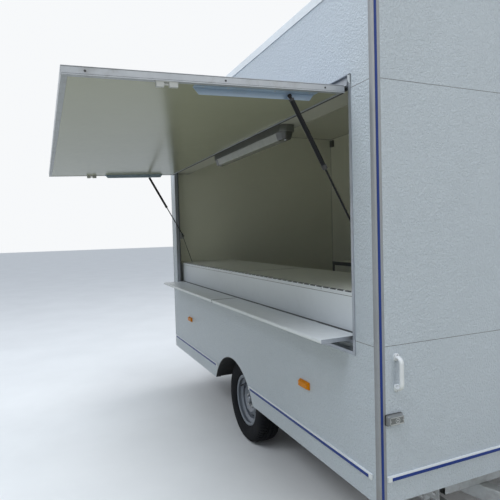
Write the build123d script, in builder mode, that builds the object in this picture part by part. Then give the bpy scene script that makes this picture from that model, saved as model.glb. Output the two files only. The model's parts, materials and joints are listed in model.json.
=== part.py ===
"""Single-axle catering trailer with a raised serving hatch, folding shelves and a side door.

Millimetres. +X points forward to the coupling, +Y to the trailer's left, +Z up. The serving side
faces -Y. The origin is the centre of the coupling's ball socket.
"""

from build123d import *
import math
import os

os.makedirs("parts", exist_ok=True)

# Overall sizes
BODY_LENGTH = 3500.0
BODY_WIDTH = 2090.0
ROOF_TOP = 2820.0            # above the ground
SKIRT_BOTTOM = 416.0         # above the ground
WALL = 40.0                  # sandwich panel of walls, floor and roof
COUPLING_HEIGHT = 430.0      # ball centre above the ground
DRAWBAR_REACH = 1300.0       # ball centre to the front wall
LOWER_SEAM = 1125.0          # heights of the panel seams
UPPER_SEAM = 2290.0
SEAM_GAP = 0.8

# Running gear
AXLE_STATION = 1778.0        # behind the front wall
TYRE_RADIUS = 320.0
TYRE_WIDTH = 185.0
RIM_SEAT_RADIUS = 178.0
WHEEL_RECESS = 92.0          # side wall face to tyre face
SPINDLE_RADIUS = 16.0
RUNNING_GAP = 0.3            # radial gap round pins and shafts

# Wheel arch
ARCH_HALF_WIDTH = TYRE_RADIUS + 63.0      # at the skirt's lower edge
ARCH_TOP = 2 * TYRE_RADIUS + 25.0
LINER_GAP = 3.0
LINER_THICKNESS = 4.0
LINER_DEPTH = 300.0          # inward from the side wall

# Chassis
RAIL_HEIGHT = 100.0
RAIL_WIDTH = 50.0
RAIL_OFFSET = BODY_WIDTH / 2 - 405.0      # rail centre from the middle
RAIL_WALL = 4.0
CROSS_STATIONS = (70.0, 870.0, AXLE_STATION + 322.0, AXLE_STATION + 1002.0, BODY_LENGTH - 70.0)
ARM_HEIGHT = 80.0
ARM_WIDTH = 60.0
ARM_REAR_STATION = 900.0
ARM_FRONT_X = -210.0
ARM_FRONT_OFFSET = 52.0
BEAM_SIZE = 90.0             # square axle tube
SWING_ARM_REACH = 160.0

# Coupling and jockey wheel
SOCKET_RADIUS = 25.2
SOCKET_SKIRT = 20.0
HEAD_WALL = 7.0
SHAFT_RADIUS = 25.0
JOCKEY_X = -470.0
JOCKEY_TUBE_RADIUS = 24.0
JOCKEY_STEM_RADIUS = 20.0
JOCKEY_WHEEL_RADIUS = 100.0
JOCKEY_WHEEL_WIDTH = 50.0
JOCKEY_TRAIL = 35.0

# Corner posts and rubbing strips
POST_SIDE = 25.0             # cover along the side wall
POST_END = 40.0              # cover along the end wall
INSERT_START = 12.0
INSERT_WIDTH = 13.0
INSERT_DEPTH = 3.0
INSERT_PROUD = 1.0
TRIM_BOTTOM = 520.0
TRIM_HEIGHT = 25.0
TRIM_PROUD = 8.0
TRIM_CAP = 22.0
TRIM_POST_GAP = 20.0
TRIM_ARCH_GAP = 30.0
TRIM_DOOR_GAP = 14.0
ROOF_EDGE = 4.0
ROOF_EDGE_LEG = 48.0
ROOF_EDGE_LIP = 22.0

# Serving opening, in wall cut sizes
OPENING_MARGIN = 165.0       # wall end to opening, front and rear
OPENING_BOTTOM = 1064.0
OPENING_TOP = 2334.0
FRAME_JAMB = 10.0
FRAME_SILL = 8.0
FRAME_HEAD = 20.0
FRAME_OVERLAP = 8.0          # flange over the outer skin
FRAME_PROUD = 3.0
HOOD_HEIGHT = 41.0           # drip hood above the head bar's underside
HOOD_REACH = 18.0
HOOD_SHEET = 4.0
BEAD_STEM = 14.0             # top of the hinge bead's web above the head bar's underside

# Hatch, closed in the opening and swung up about the head
HATCH_OPEN_ANGLE = 88.0
HATCH_THICKNESS = 34.0
HATCH_SIDE_GAP = 6.0
HATCH_SILL_GAP = 5.0
HINGE_HEIGHT = OPENING_TOP - 28.0
HINGE_PROUD = 6.0
BEAD_RADIUS = 5.0
CLAW_RADIUS = 7.5
HATCH_START = 12.0           # hinge axis to the panel's upper edge
HATCH_RAIL = 23.0            # flange width of the edge frame
HATCH_WEB = 3.0
HATCH_SKIN = 2.0

# Gas struts
STRUT_INSET = 43.0           # jamb face to strut plane
STRUT_MOUNT_REACH = 280.0    # from the hinge along the hatch
STRUT_MOUNT_DROP = 18.0      # below the hatch's inner skin
STRUT_FOOT_HEIGHT = 1625.0
STRUT_FOOT_INSET = 62.0      # behind the side wall's outer face
CYLINDER_LENGTH = 365.0
CYLINDER_RADIUS = 11.0
ROD_RADIUS = 5.0
ROD_ENGAGEMENT = 24.0
EYE_RADIUS = 9.0
EYE_THICKNESS = 8.0
STUD_RADIUS = 4.0
FOOT_GAP = 0.8               # stud's end to the rod's eye
STRUT_RAIL_START = 140.0
STRUT_RAIL_END = 720.0
STRUT_RAIL_LEG = 27.0
STRUT_RAIL_BASE = 33.0
STRUT_RAIL_SHEET = 3.0
STRUT_RAIL_BEVEL = 26.0

# Latches on the hatch's side rails
LATCH_CATCH_START = 795.0    # from the hinge along the hatch
LATCH_CATCH_LENGTH = 38.0
LATCH_LEVER_START = 851.0
LATCH_LEVER_LENGTH = 34.0
LATCH_BLOCK_WIDTH = 18.0
LATCH_BLOCK_RISE = 21.0
LATCH_BASE = 3.0
LATCH_PIN_RADIUS = 4.0

# Shelf sections and counter
SHELF_TOP = OPENING_BOTTOM + 76.0
SHELF_THICKNESS = 20.0
SHELF_REACH = 205.0
SHELF_END_MARGIN = OPENING_MARGIN + 35.0     # wall end to shelf end
SHELF_GAP = 6.0              # between the two sections
SHELF_PIN_INSET = 52.0       # pin behind the side wall's outer face
SHELF_PIN_DROP = 5.0
SHELF_PIN_RADIUS = 2.5
SHELF_KNUCKLE_RADIUS = 4.5
SHELF_EDGE_GAP = 7.0         # pin to the shelf's inner edge
KNUCKLE_LENGTH = 40.0
LEDGE_SHEET = 3.0
LEDGE_REACH = 24.0
LEDGE_HEIGHT = 40.0
BOARD_INSET = 63.5           # counter board behind the side wall's outer face
BOARD_THICKNESS = 16.0
WORKTOP_TOP = SHELF_TOP + 200.0
WORKTOP_THICKNESS = 22.0
WORKTOP_DEPTH = 600.0
WORKTOP_GAP = 1.0
PARTITION_THICKNESS = 18.0
PARTITION_DEPTH = 540.0

# Header box and lamp inside
SOFFIT_HEIGHT = OPENING_TOP - 34.0
SOFFIT_DEPTH = 150.0
SOFFIT_BOARD = 12.0
LAMP_START = 930.0
LAMP_LENGTH = 1270.0
LAMP_INSET = 95.0
LAMP_WIDTH = 100.0
LAMP_BASE = 42.0
LAMP_LENS = 46.0
LAMP_CORNER = 40.0
LAMP_STEP = 6.0              # base edge to diffuser edge
LAMP_SOFT = 8.0              # diffuser's lower edge

# Side door at the left wall's front, hinged along its front edge
DOOR_START = 110.0           # station of the leaf's hinge edge
DOOR_END = 810.0
DOOR_BOTTOM = 468.0
DOOR_TOP = 2278.0
DOOR_THICKNESS = 34.0
DOOR_BORDER = 32.0           # edge frame on the leaf's inner face
DOOR_BORDER_PROUD = 2.0
DOOR_GAP = 6.0
DOOR_FRAME = 30.0
DOOR_AXIS_OFFSET = 14.0      # pin outside the wall's face
DOOR_AXIS_AHEAD = 14.0       # pin beyond the leaf's edge
DOOR_FLANGE = 10.0           # frame flange over the outer skin
DOOR_FLANGE_PROUD = 3.0
DOOR_SILL = 2.0
DOOR_PIN_RADIUS = 6.0
DOOR_BARREL_RADIUS = 11.0
DOOR_BARREL = 90.0
DOOR_HINGE_HEIGHTS = (760.0, 1990.0)
LATCH_INSET = 60.0           # handle from the leaf's free edge
LATCH_HEIGHT = 1420.0
LATCH_WIDTH = 44.0
LATCH_TALL = 170.0
LATCH_PLATE = 6.0
LEVER_REACH = 120.0
LATCH_STANDOFF = 34.0
LATCH_RISE = 30.0            # spindle above the plate's middle

# Back counter along the left wall
BACK_START = DOOR_END + 140.0
BACK_END = BODY_LENGTH - 570.0
BACK_DEPTH = 350.0
BACK_TOP = 1290.0
BACK_SLAB = 40.0

# Lamps and handles outside
MARKER_LENGTH = 108.0
MARKER_HEIGHT = 42.0
MARKER_PROUD = 18.0
MARKER_BASE = 5.0
LENS_MARGIN = 3.5            # base edge to lens
MARKERS = ((-1, 640.0, 785.0), (-1, BODY_LENGTH - 620.0, 800.0),
           (1, DOOR_END + 230.0, 785.0), (1, BODY_LENGTH - 620.0, 800.0))     # side, station, height
FRONT_LAMP_INSET = 80.0
FRONT_LAMP_HEIGHT = 799.0
FRONT_LAMP_WIDTH = 92.0
FRONT_LAMP_TALL = 50.0
FRONT_LAMP_PROUD = 26.0
FRONT_LAMP_BASE = 8.0
HANDLE_INSET = 100.0
HANDLE_BOTTOM = 918.0
HANDLE_TOP = 1090.0
HANDLE_STANDOFF = 45.0
HANDLE_WIDTH = 26.0
HANDLE_DEPTH = 15.0
HANDLE_BEND = 22.0
HANDLE_FOOT = 34.0           # length of each foot
HANDLE_FOOT_RISE = 9.0
REAR_LAMP_INSET = 170.0
REAR_LAMP_HEIGHT = 650.0
REAR_LAMP_WIDTH = 220.0
REAR_LAMP_TALL = 100.0
REAR_LAMP_PROUD = 45.0
REAR_LAMP_BASE = 14.0
REAR_LENSES = ((-70.0, 68.0), (2.0, 68.0), (73.0, 66.0))      # middle along the lamp, length

# Derived places
GROUND = -COUPLING_HEIGHT
FRONT = -DRAWBAR_REACH
REAR = FRONT - BODY_LENGTH
SIDE = BODY_WIDTH / 2
INNER = SIDE - WALL
AXLE_X = FRONT - AXLE_STATION
AXLE_Z = GROUND + TYRE_RADIUS
WHEEL_Y = SIDE - WHEEL_RECESS - TYRE_WIDTH / 2
FLOOR_UNDER = GROUND + SKIRT_BOTTOM + 4.0
FLOOR_TOP = FLOOR_UNDER + WALL
CEILING = GROUND + ROOF_TOP - WALL
SKIRT = GROUND + SKIRT_BOTTOM
MIDDLE_X = FRONT - BODY_LENGTH / 2
RAIL_UNDER = FLOOR_UNDER - RAIL_HEIGHT
BEAM_Z = RAIL_UNDER - BEAM_SIZE / 2
ARCH_RISE = ARCH_TOP - SKIRT_BOTTOM
ARCH_RADIUS = (ARCH_HALF_WIDTH**2 + ARCH_RISE**2) / (2 * ARCH_RISE)
ARCH_Z = GROUND + ARCH_TOP - ARCH_RADIUS
OPENING_FRONT = FRONT - OPENING_MARGIN
OPENING_REAR = REAR + OPENING_MARGIN
JAMB_FRONT = OPENING_FRONT - FRAME_JAMB
JAMB_REAR = OPENING_REAR + FRAME_JAMB


def at_height(value):
    """Z of a height measured from the ground."""
    return GROUND + value


def at_station(value):
    """X of a distance measured back from the front wall."""
    return FRONT - value


def slab(low, high, mode=Mode.ADD):
    """Rectangular block between two opposite corners, in the block's own plane."""
    centre = [(a + b) / 2 for a, b in zip(low, high)]
    size = [abs(b - a) for a, b in zip(low, high)]
    with Locations(tuple(centre)):
        Box(*size, mode=mode)


def save(builder, name):
    """Labels a finished piece and writes it."""
    builder.part.label = name
    export_step(builder.part, f"parts/{name}.step")


def arch_gap_station(height):
    """Half width of the wheel arch at a height above the ground."""
    return math.sqrt(ARCH_RADIUS**2 - (at_height(height) - ARCH_Z) ** 2)


# Chassis rails: two lipped channels, open inward
with BuildPart() as chassis_rails:
    for side in (-1, 1):
        outer = side * (RAIL_OFFSET + RAIL_WIDTH / 2)
        inner = side * (RAIL_OFFSET - RAIL_WIDTH / 2)
        slab((REAR + WALL, outer, RAIL_UNDER), (FRONT - WALL, inner, FLOOR_UNDER))
        slab((REAR + WALL - 1, outer - side * RAIL_WALL, RAIL_UNDER + RAIL_WALL),
             (FRONT - WALL + 1, inner - side, FLOOR_UNDER - RAIL_WALL), mode=Mode.SUBTRACT)
save(chassis_rails, "chassis_rails")

# Cross members between the rail webs
CROSS_HALF = RAIL_OFFSET - RAIL_WIDTH / 2 - 0.2
with BuildPart() as cross_members:
    for station in CROSS_STATIONS:
        with BuildSketch(Plane.XZ.offset(-CROSS_HALF)):
            with Locations((at_station(station), FLOOR_UNDER - 40)):
                RectangleRounded(40, 80, 5)
                RectangleRounded(32, 72, 3, mode=Mode.SUBTRACT)
        extrude(amount=2 * CROSS_HALF)
save(cross_members, "cross_members")

# Drawbar arms: box tubes from the rails to the coupling, under the floor's front
ARM_REAR_X = at_station(ARM_REAR_STATION)
ARM_REAR_OFFSET = RAIL_OFFSET - RAIL_WIDTH / 2 - ARM_WIDTH / 2 - 6
ARM_TOP = FLOOR_UNDER - 80
ARM_RUN = ARM_FRONT_X - ARM_REAR_X
ARM_ANGLE = math.atan2(ARM_FRONT_OFFSET - ARM_REAR_OFFSET, ARM_RUN)
ARM_LENGTH = math.hypot(ARM_RUN, ARM_FRONT_OFFSET - ARM_REAR_OFFSET)


def arm_offset(x):
    """Distance of the arm's centre line from the middle at a place along X."""
    return ARM_REAR_OFFSET + (x - ARM_REAR_X) * math.tan(ARM_ANGLE)


with BuildPart() as drawbar_arms:
    for side in (-1, 1):
        direction = Vector(math.cos(ARM_ANGLE), side * math.sin(ARM_ANGLE), 0)
        start = Plane(origin=(ARM_REAR_X, side * ARM_REAR_OFFSET, ARM_TOP - ARM_HEIGHT / 2),
                      x_dir=(0, 0, 1), z_dir=direction)
        with BuildSketch(start):
            RectangleRounded(ARM_HEIGHT, ARM_WIDTH, 6)
            RectangleRounded(ARM_HEIGHT - 8, ARM_WIDTH - 8, 3, mode=Mode.SUBTRACT)
        extrude(amount=ARM_LENGTH)
save(drawbar_arms, "drawbar_arms")

# Coupling head on its drawshaft, with the overrun housing on the drawbar arms
HOUSING_REAR = -560.0
HOUSING_FRONT = ARM_FRONT_X + 10
HEAD_REAR = -110.0
with BuildPart() as coupling_head:
    Sphere(SOCKET_RADIUS + HEAD_WALL)
    split(bisect_by=Plane.XY.offset(-SOCKET_SKIRT), keep=Keep.TOP)
    with BuildSketch(Plane.XY.offset(-SOCKET_SKIRT)):
        Circle(SOCKET_RADIUS + HEAD_WALL)
    extrude(amount=SOCKET_SKIRT)
    with BuildSketch(Plane.XY.offset(12)):
        with BuildLine():
            Polyline((10, 24), (-60, 27), (HEAD_REAR, 30), (HEAD_REAR, -30), (-60, -27), (10, -24),
                     close=True)
        make_face()
    extrude(amount=34)
    with BuildSketch(Plane.YZ.offset(HEAD_REAR - 60)):
        with Locations((0, 20)):
            Circle(SHAFT_RADIUS + 7)
    extrude(amount=70)
    with BuildSketch(Plane.YZ.offset(HOUSING_REAR)):
        with Locations((0, 20)):
            Circle(SHAFT_RADIUS)
    extrude(amount=HEAD_REAR - HOUSING_REAR)
    with BuildSketch(Plane.YZ.offset(HOUSING_REAR + 20)):
        with Locations((0, 20)):
            Circle(SHAFT_RADIUS + 12)
    extrude(amount=HOUSING_FRONT - 60 - HOUSING_REAR - 20)
    for foot in (HOUSING_REAR + 40, HOUSING_FRONT - 110):
        slab((foot, -60, ARM_TOP), (foot + 50, 60, ARM_TOP + 8))
        slab((foot + 4, -22, ARM_TOP + 8), (foot + 46, 22, 10))
    with BuildSketch(Plane.XZ.offset(-6)):
        with BuildLine():
            Polyline((-8, 44), (-40, 44), (-150, 78), (-214, 78), (-214, 66), (-152, 66), (-60, 34),
                     (-8, 34), close=True)
        make_face()
    extrude(amount=12)
    with Locations((0, 0, -SOCKET_SKIRT)):
        Cylinder(SOCKET_RADIUS, SOCKET_SKIRT, align=(Align.CENTER, Align.CENTER, Align.MIN),
                 mode=Mode.SUBTRACT)
    Sphere(SOCKET_RADIUS, mode=Mode.SUBTRACT)
save(coupling_head, "coupling_head")

# Handbrake lever on the housing's right side, lying back
LEVER_Y = -SHAFT_RADIUS - 12.3
LEVER_LEAN = math.radians(38)
with BuildPart() as handbrake_lever:
    with BuildSketch(Plane.XZ.offset(-LEVER_Y)):
        with BuildLine():
            Polyline((-470, 4), (-430, 4), (-442, 46), (-640, 196), (-652, 182), (-466, 32), close=True)
        make_face()
    extrude(amount=10)
    with BuildSketch(Plane(origin=(-640, LEVER_Y - 5, 184), x_dir=(0, 1, 0),
                           z_dir=(-math.cos(LEVER_LEAN), 0, math.sin(LEVER_LEAN)))):
        Circle(11)
    extrude(amount=110)
save(handbrake_lever, "handbrake_lever")

# Rubber gaiter between the head and the housing, in three folds
GAITER_REAR = HOUSING_FRONT - 60
GAITER_FRONT = HEAD_REAR - 60
FOLD = (GAITER_FRONT - GAITER_REAR - 1) / 3
with BuildPart() as coupling_gaiter:
    with BuildSketch(Plane.XZ):
        for fold in range(3):
            start = GAITER_REAR + 0.5 + fold * FOLD
            with BuildLine():
                Polyline((start, 20 + SHAFT_RADIUS + 0.4), (start, 20 + SHAFT_RADIUS + 6),
                         (start + FOLD / 2, 20 + SHAFT_RADIUS + 14), (start + FOLD, 20 + SHAFT_RADIUS + 6),
                         (start + FOLD, 20 + SHAFT_RADIUS + 0.4), close=True)
            make_face()
    revolve(axis=Axis((0, 0, 20), (1, 0, 0)))
save(coupling_gaiter, "coupling_gaiter")

# Jockey stand: outer tube, clamp on the left arm and crank
ARM_SIDE = ARM_WIDTH / 2 / math.cos(ARM_ANGLE)
JOCKEY_Y = arm_offset(JOCKEY_X) + ARM_SIDE + 14 + JOCKEY_TUBE_RADIUS
JOCKEY_TUBE_BOTTOM = at_height(250)
JOCKEY_TUBE_TOP = at_height(780)
JOCKEY_AXLE_Z = GROUND + JOCKEY_WHEEL_RADIUS
with BuildPart() as jockey_stand:
    with BuildSketch(Plane.XY.offset(JOCKEY_TUBE_BOTTOM)):
        with Locations((JOCKEY_X, JOCKEY_Y)):
            Circle(JOCKEY_TUBE_RADIUS)
    extrude(amount=JOCKEY_TUBE_TOP - JOCKEY_TUBE_BOTTOM)
    with BuildSketch(Plane.XY.offset(ARM_TOP - ARM_HEIGHT + 8)):
        with Locations((JOCKEY_X, JOCKEY_Y)):
            Circle(JOCKEY_TUBE_RADIUS + 7)
        with BuildLine():
            Polyline((JOCKEY_X - 35, JOCKEY_Y), (JOCKEY_X - 35, arm_offset(JOCKEY_X - 35) + ARM_SIDE),
                     (JOCKEY_X + 35, arm_offset(JOCKEY_X + 35) + ARM_SIDE), (JOCKEY_X + 35, JOCKEY_Y),
                     close=True)
        make_face()
    extrude(amount=ARM_HEIGHT - 16)
    with BuildSketch(Plane.YZ.offset(JOCKEY_X)):
        with Locations((JOCKEY_Y, JOCKEY_TUBE_TOP + 12)):
            Rectangle(12, 24)
    extrude(amount=-110)
    with BuildSketch(Plane.XY.offset(JOCKEY_TUBE_TOP)):
        with Locations((JOCKEY_X - 100, JOCKEY_Y)):
            Circle(11)
        with Locations((JOCKEY_X, JOCKEY_Y)):
            Circle(JOCKEY_TUBE_RADIUS)
    extrude(amount=24)
    with BuildSketch(Plane.XY.offset(JOCKEY_TUBE_TOP + 24)):
        with Locations((JOCKEY_X - 100, JOCKEY_Y)):
            Circle(11)
    extrude(amount=76)
    with BuildSketch(Plane.XY.offset(JOCKEY_TUBE_BOTTOM)):
        with Locations((JOCKEY_X, JOCKEY_Y)):
            Circle(JOCKEY_STEM_RADIUS + RUNNING_GAP)
    extrude(amount=300, mode=Mode.SUBTRACT)
save(jockey_stand, "jockey_stand")

# Caster fork: stem in the tube, crown and two cheeks trailing behind it
CHEEK = JOCKEY_WHEEL_WIDTH / 2 + 6
CROWN_Z = JOCKEY_AXLE_Z + JOCKEY_WHEEL_RADIUS + 10
with BuildPart() as jockey_fork:
    with BuildSketch(Plane.XY.offset(CROWN_Z + 8)):
        with Locations((JOCKEY_X, JOCKEY_Y)):
            Circle(JOCKEY_STEM_RADIUS)
    extrude(amount=JOCKEY_TUBE_BOTTOM + 250 - CROWN_Z)
    slab((JOCKEY_X - JOCKEY_TRAIL - 24, JOCKEY_Y - CHEEK - 6, CROWN_Z),
         (JOCKEY_X + 26, JOCKEY_Y + CHEEK + 6, CROWN_Z + 8))
    for side in (-1, 1):
        with BuildSketch(Plane.XZ.offset(-JOCKEY_Y - side * CHEEK)):
            with BuildLine():
                Polyline((JOCKEY_X + 24, CROWN_Z + 1), (JOCKEY_X - JOCKEY_TRAIL + 16, JOCKEY_AXLE_Z - 16),
                         (JOCKEY_X - JOCKEY_TRAIL - 16, JOCKEY_AXLE_Z - 16),
                         (JOCKEY_X - JOCKEY_TRAIL - 24, CROWN_Z + 1), close=True)
            make_face()
        extrude(amount=-6 * side)
    with BuildSketch(Plane.XZ.offset(-JOCKEY_Y - CHEEK - 1)):
        with Locations((JOCKEY_X - JOCKEY_TRAIL, JOCKEY_AXLE_Z)):
            Circle(8)
    extrude(amount=2 * CHEEK + 2)
save(jockey_fork, "jockey_fork")

# Jockey wheel: solid tyre on a dished centre
with BuildPart() as jockey_wheel:
    with BuildSketch(Plane.XY):
        with BuildLine():
            Polyline((8 + RUNNING_GAP, -25), (22, -25), (24, -8), (66, -8), (68, -20), (82, -23),
                     (96, -18), (JOCKEY_WHEEL_RADIUS, -8), (JOCKEY_WHEEL_RADIUS, 8), (96, 18), (82, 23),
                     (68, 20), (66, 8), (24, 8), (22, 25), (8 + RUNNING_GAP, 25), close=True)
        make_face()
    revolve(axis=Axis.Y)
jockey_wheel.part = jockey_wheel.part.moved(
    Location((JOCKEY_X - JOCKEY_TRAIL, JOCKEY_Y, JOCKEY_AXLE_Z)))
save(jockey_wheel, "jockey_wheel")

# Torsion axle: square beam under the rails with a clamp plate at each rail
BEAM_X = AXLE_X + SWING_ARM_REACH
BEAM_HALF = RAIL_OFFSET + RAIL_WIDTH / 2 + 26
with BuildPart() as axle_beam:
    with BuildSketch(Plane.XZ.offset(-BEAM_HALF)):
        with Locations((BEAM_X, BEAM_Z)):
            RectangleRounded(BEAM_SIZE, BEAM_SIZE, 12)
    extrude(amount=2 * BEAM_HALF)
    for side in (-1, 1):
        slab((BEAM_X - 90, side * (RAIL_OFFSET - 24), RAIL_UNDER - 8),
             (BEAM_X + 90, side * (RAIL_OFFSET + 24), RAIL_UNDER))
save(axle_beam, "axle_beam")

# Stub axles: trailing arm, brake back plate and spindle, one each side
ARM_INNER_Y = BEAM_HALF
with BuildPart() as stub_axles:
    for side in (-1, 1):
        arm_plane = Plane(origin=(0, side * ARM_INNER_Y, 0), x_dir=(1, 0, 0), z_dir=(0, side, 0))
        tip = -side
        with BuildSketch(arm_plane):
            with BuildLine():
                Polyline((BEAM_X + 50, tip * (BEAM_Z - 42)), (BEAM_X + 50, tip * (BEAM_Z + 42)),
                         (AXLE_X, tip * (AXLE_Z + 32)), (AXLE_X - 34, tip * (AXLE_Z + 10)),
                         (AXLE_X - 34, tip * (AXLE_Z - 16)), (AXLE_X, tip * (AXLE_Z - 34)), close=True)
            make_face()
        extrude(amount=24)
        with BuildSketch(arm_plane.offset(24)):
            with Locations((AXLE_X, tip * AXLE_Z)):
                Circle(112)
        extrude(amount=6)
        with BuildSketch(arm_plane.offset(30)):
            with Locations((AXLE_X, tip * AXLE_Z)):
                Circle(SPINDLE_RADIUS)
        extrude(amount=WHEEL_Y - ARM_INNER_Y - 30)
save(stub_axles, "stub_axles")

# Road wheels: pressed steel rim with its drum, and tyre, turned about the axle line
DRUM_INNER = ARM_INNER_Y + 24 + 6 + 2 - WHEEL_Y
RIM_SECTION = (
    (0, 58), (28, 58), (34, 50), (34, 29), (72, 29), (98, 42), (124, 33), (146, 24), (146, 37),
    (172, 48), (174, 68), (188, 72), (195, 72), (195, 66), (180, 64), (RIM_SEAT_RADIUS, 44),
    (152, 34), (152, -14), (RIM_SEAT_RADIUS, -44), (180, -64), (195, -66), (195, -72), (188, -72),
    (174, -68), (172, -48), (146, -18), (146, 16), (124, 24), (98, 33), (74, 20), (60, 20),
    (60, -62), (105, -62), (105, DRUM_INNER), (SPINDLE_RADIUS + RUNNING_GAP, DRUM_INNER),
    (SPINDLE_RADIUS + RUNNING_GAP, 5), (0, 5))      # radius, outboard distance
BEAD_SEAT = RIM_SEAT_RADIUS + 0.5
SIDEWALL = (TYRE_RADIUS + RIM_SEAT_RADIUS) / 2 + 6
FLANK = TYRE_WIDTH / 2
TYRE_SECTION = (
    (BEAD_SEAT + 1.4, -62), (196, -64.5), (201, -78), (225, -90), (SIDEWALL, -FLANK),
    (TYRE_RADIUS - 22, -86), (TYRE_RADIUS - 5, -70), (TYRE_RADIUS, -45), (TYRE_RADIUS, 45),
    (TYRE_RADIUS - 5, 70), (TYRE_RADIUS - 22, 86), (SIDEWALL, FLANK), (225, 90), (201, 78),
    (196, 64.5), (BEAD_SEAT + 1.4, 62), (BEAD_SEAT, 48), (200, 56), (225, 78), (SIDEWALL, FLANK - 11.5),
    (TYRE_RADIUS - 28, 74), (TYRE_RADIUS - 15, 50), (TYRE_RADIUS - 13, 0), (TYRE_RADIUS - 15, -50),
    (TYRE_RADIUS - 28, -74), (SIDEWALL, 11.5 - FLANK), (225, -78), (200, -56),
    (BEAD_SEAT, -48))                               # radius, outboard distance
SLOT_COUNT = 10
SLOT_CIRCLE = 122.0

for name, side in (("left", 1), ("right", -1)):
    hub = Plane(origin=(AXLE_X, side * WHEEL_Y, AXLE_Z), x_dir=(1, 0, 0), z_dir=(0, 0, side))
    axle = Axis((AXLE_X, side * WHEEL_Y, AXLE_Z), (0, 1, 0))
    face = Plane(origin=(AXLE_X, side * (WHEEL_Y + 12), AXLE_Z), x_dir=(1, 0, 0), z_dir=(0, side, 0))
    with BuildPart() as rim:
        with BuildSketch(hub):
            with BuildLine():
                Polyline(*RIM_SECTION, close=True)
            make_face()
        revolve(axis=axle)
        with BuildSketch(face):
            with PolarLocations(SLOT_CIRCLE, SLOT_COUNT):
                SlotOverall(30, 16, rotation=90)
        extrude(amount=40, mode=Mode.SUBTRACT)
    save(rim, f"rim_{name}")
    with BuildPart() as tyre:
        with BuildSketch(hub):
            with BuildLine():
                Polyline(*TYRE_SECTION, close=True)
            make_face()
        revolve(axis=axle)
    save(tyre, f"tyre_{name}")

# Wheel boxes: arched liner with an inner cheek
LINER_INNER_R = ARCH_RADIUS + LINER_GAP
LINER_OUTER_R = LINER_INNER_R + LINER_THICKNESS
with BuildPart() as wheel_boxes:
    for side in (-1, 1):
        mouth = Plane(origin=(AXLE_X, side * INNER, ARCH_Z), x_dir=(1, 0, 0), z_dir=(0, -side, 0))
        up = side
        cut = up * (FLOOR_UNDER - ARCH_Z)
        with BuildSketch(mouth) as arch:
            Circle(LINER_OUTER_R)
            Circle(LINER_INNER_R, mode=Mode.SUBTRACT)
            with Locations((0, cut - up * LINER_OUTER_R)):
                Rectangle(3 * LINER_OUTER_R, 2 * LINER_OUTER_R, mode=Mode.SUBTRACT)
        extrude(amount=LINER_DEPTH)
        with BuildSketch(mouth.offset(LINER_DEPTH)):
            Circle(LINER_OUTER_R)
            with Locations((0, cut - up * LINER_OUTER_R)):
                Rectangle(3 * LINER_OUTER_R, 2 * LINER_OUTER_R, mode=Mode.SUBTRACT)
        extrude(amount=LINER_THICKNESS)
save(wheel_boxes, "wheel_boxes")

# Corner steadies, folded up under the rails' ends
with BuildPart() as corner_steadies:
    for station, inward in ((170, 1), (BODY_LENGTH - 170, -1)):
        for side in (-1, 1):
            x = at_station(station)
            slab((x - 40, side * (RAIL_OFFSET - 22), RAIL_UNDER - 6),
                 (x + 40, side * (RAIL_OFFSET + 22), RAIL_UNDER))
            with BuildSketch(Plane.XZ.offset(-side * RAIL_OFFSET - 18)):
                with BuildLine():
                    Polyline((x + 26 * inward, RAIL_UNDER - 5), (x + 26 * inward, RAIL_UNDER - 44),
                             (x - 380 * inward, RAIL_UNDER - 50), (x - 396 * inward, RAIL_UNDER - 30),
                             (x - 390 * inward, RAIL_UNDER - 8), (x - 330 * inward, RAIL_UNDER - 14),
                             (x - 26 * inward, RAIL_UNDER - 5), close=True)
                make_face()
            extrude(amount=36)
save(corner_steadies, "corner_steadies")

# Floor, notched round the wheel boxes
NOTCH_HALF = math.sqrt(LINER_OUTER_R**2 - (FLOOR_UNDER - ARCH_Z) ** 2) + 0.5
NOTCH_SIDE = INNER - LINER_DEPTH - LINER_THICKNESS - 0.5
with BuildPart() as floor:
    slab((REAR + WALL, -INNER, FLOOR_UNDER), (FRONT - WALL, INNER, FLOOR_TOP))
    for side in (-1, 1):
        slab((AXLE_X - NOTCH_HALF, side * NOTCH_SIDE, FLOOR_UNDER - 1),
             (AXLE_X + NOTCH_HALF, side * (INNER + 1), FLOOR_TOP + 1), mode=Mode.SUBTRACT)
save(floor, "floor")

# Serving wall in three bands, with the wheel arch and the serving opening
SERVING_FACE = Plane.XZ.offset(SIDE)
PANEL_FRONT = FRONT - POST_SIDE
PANEL_REAR = REAR + POST_SIDE
ARCH_SPOT = (AXLE_X, ARCH_Z)


def panel_sketch(x_low, x_high, z_low, z_high, mode=Mode.ADD):
    """Rectangle in a side wall's sketch, by its edges."""
    with Locations(((x_low + x_high) / 2, (z_low + z_high) / 2)):
        Rectangle(abs(x_high - x_low), abs(z_high - z_low), mode=mode)


BANDS = ((SKIRT, at_height(LOWER_SEAM)),
         (at_height(LOWER_SEAM) + SEAM_GAP, at_height(UPPER_SEAM)),
         (at_height(UPPER_SEAM) + SEAM_GAP, CEILING))     # lower and upper edge

with BuildPart() as serving_wall:
    with BuildSketch(SERVING_FACE):
        for low, high in BANDS:
            panel_sketch(PANEL_REAR, PANEL_FRONT, low, high)
        panel_sketch(OPENING_REAR, OPENING_FRONT, at_height(OPENING_BOTTOM), at_height(OPENING_TOP),
                     mode=Mode.SUBTRACT)
        with Locations(ARCH_SPOT):
            Circle(ARCH_RADIUS, mode=Mode.SUBTRACT)
    extrude(amount=-WALL)
save(serving_wall, "serving_wall")

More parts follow.
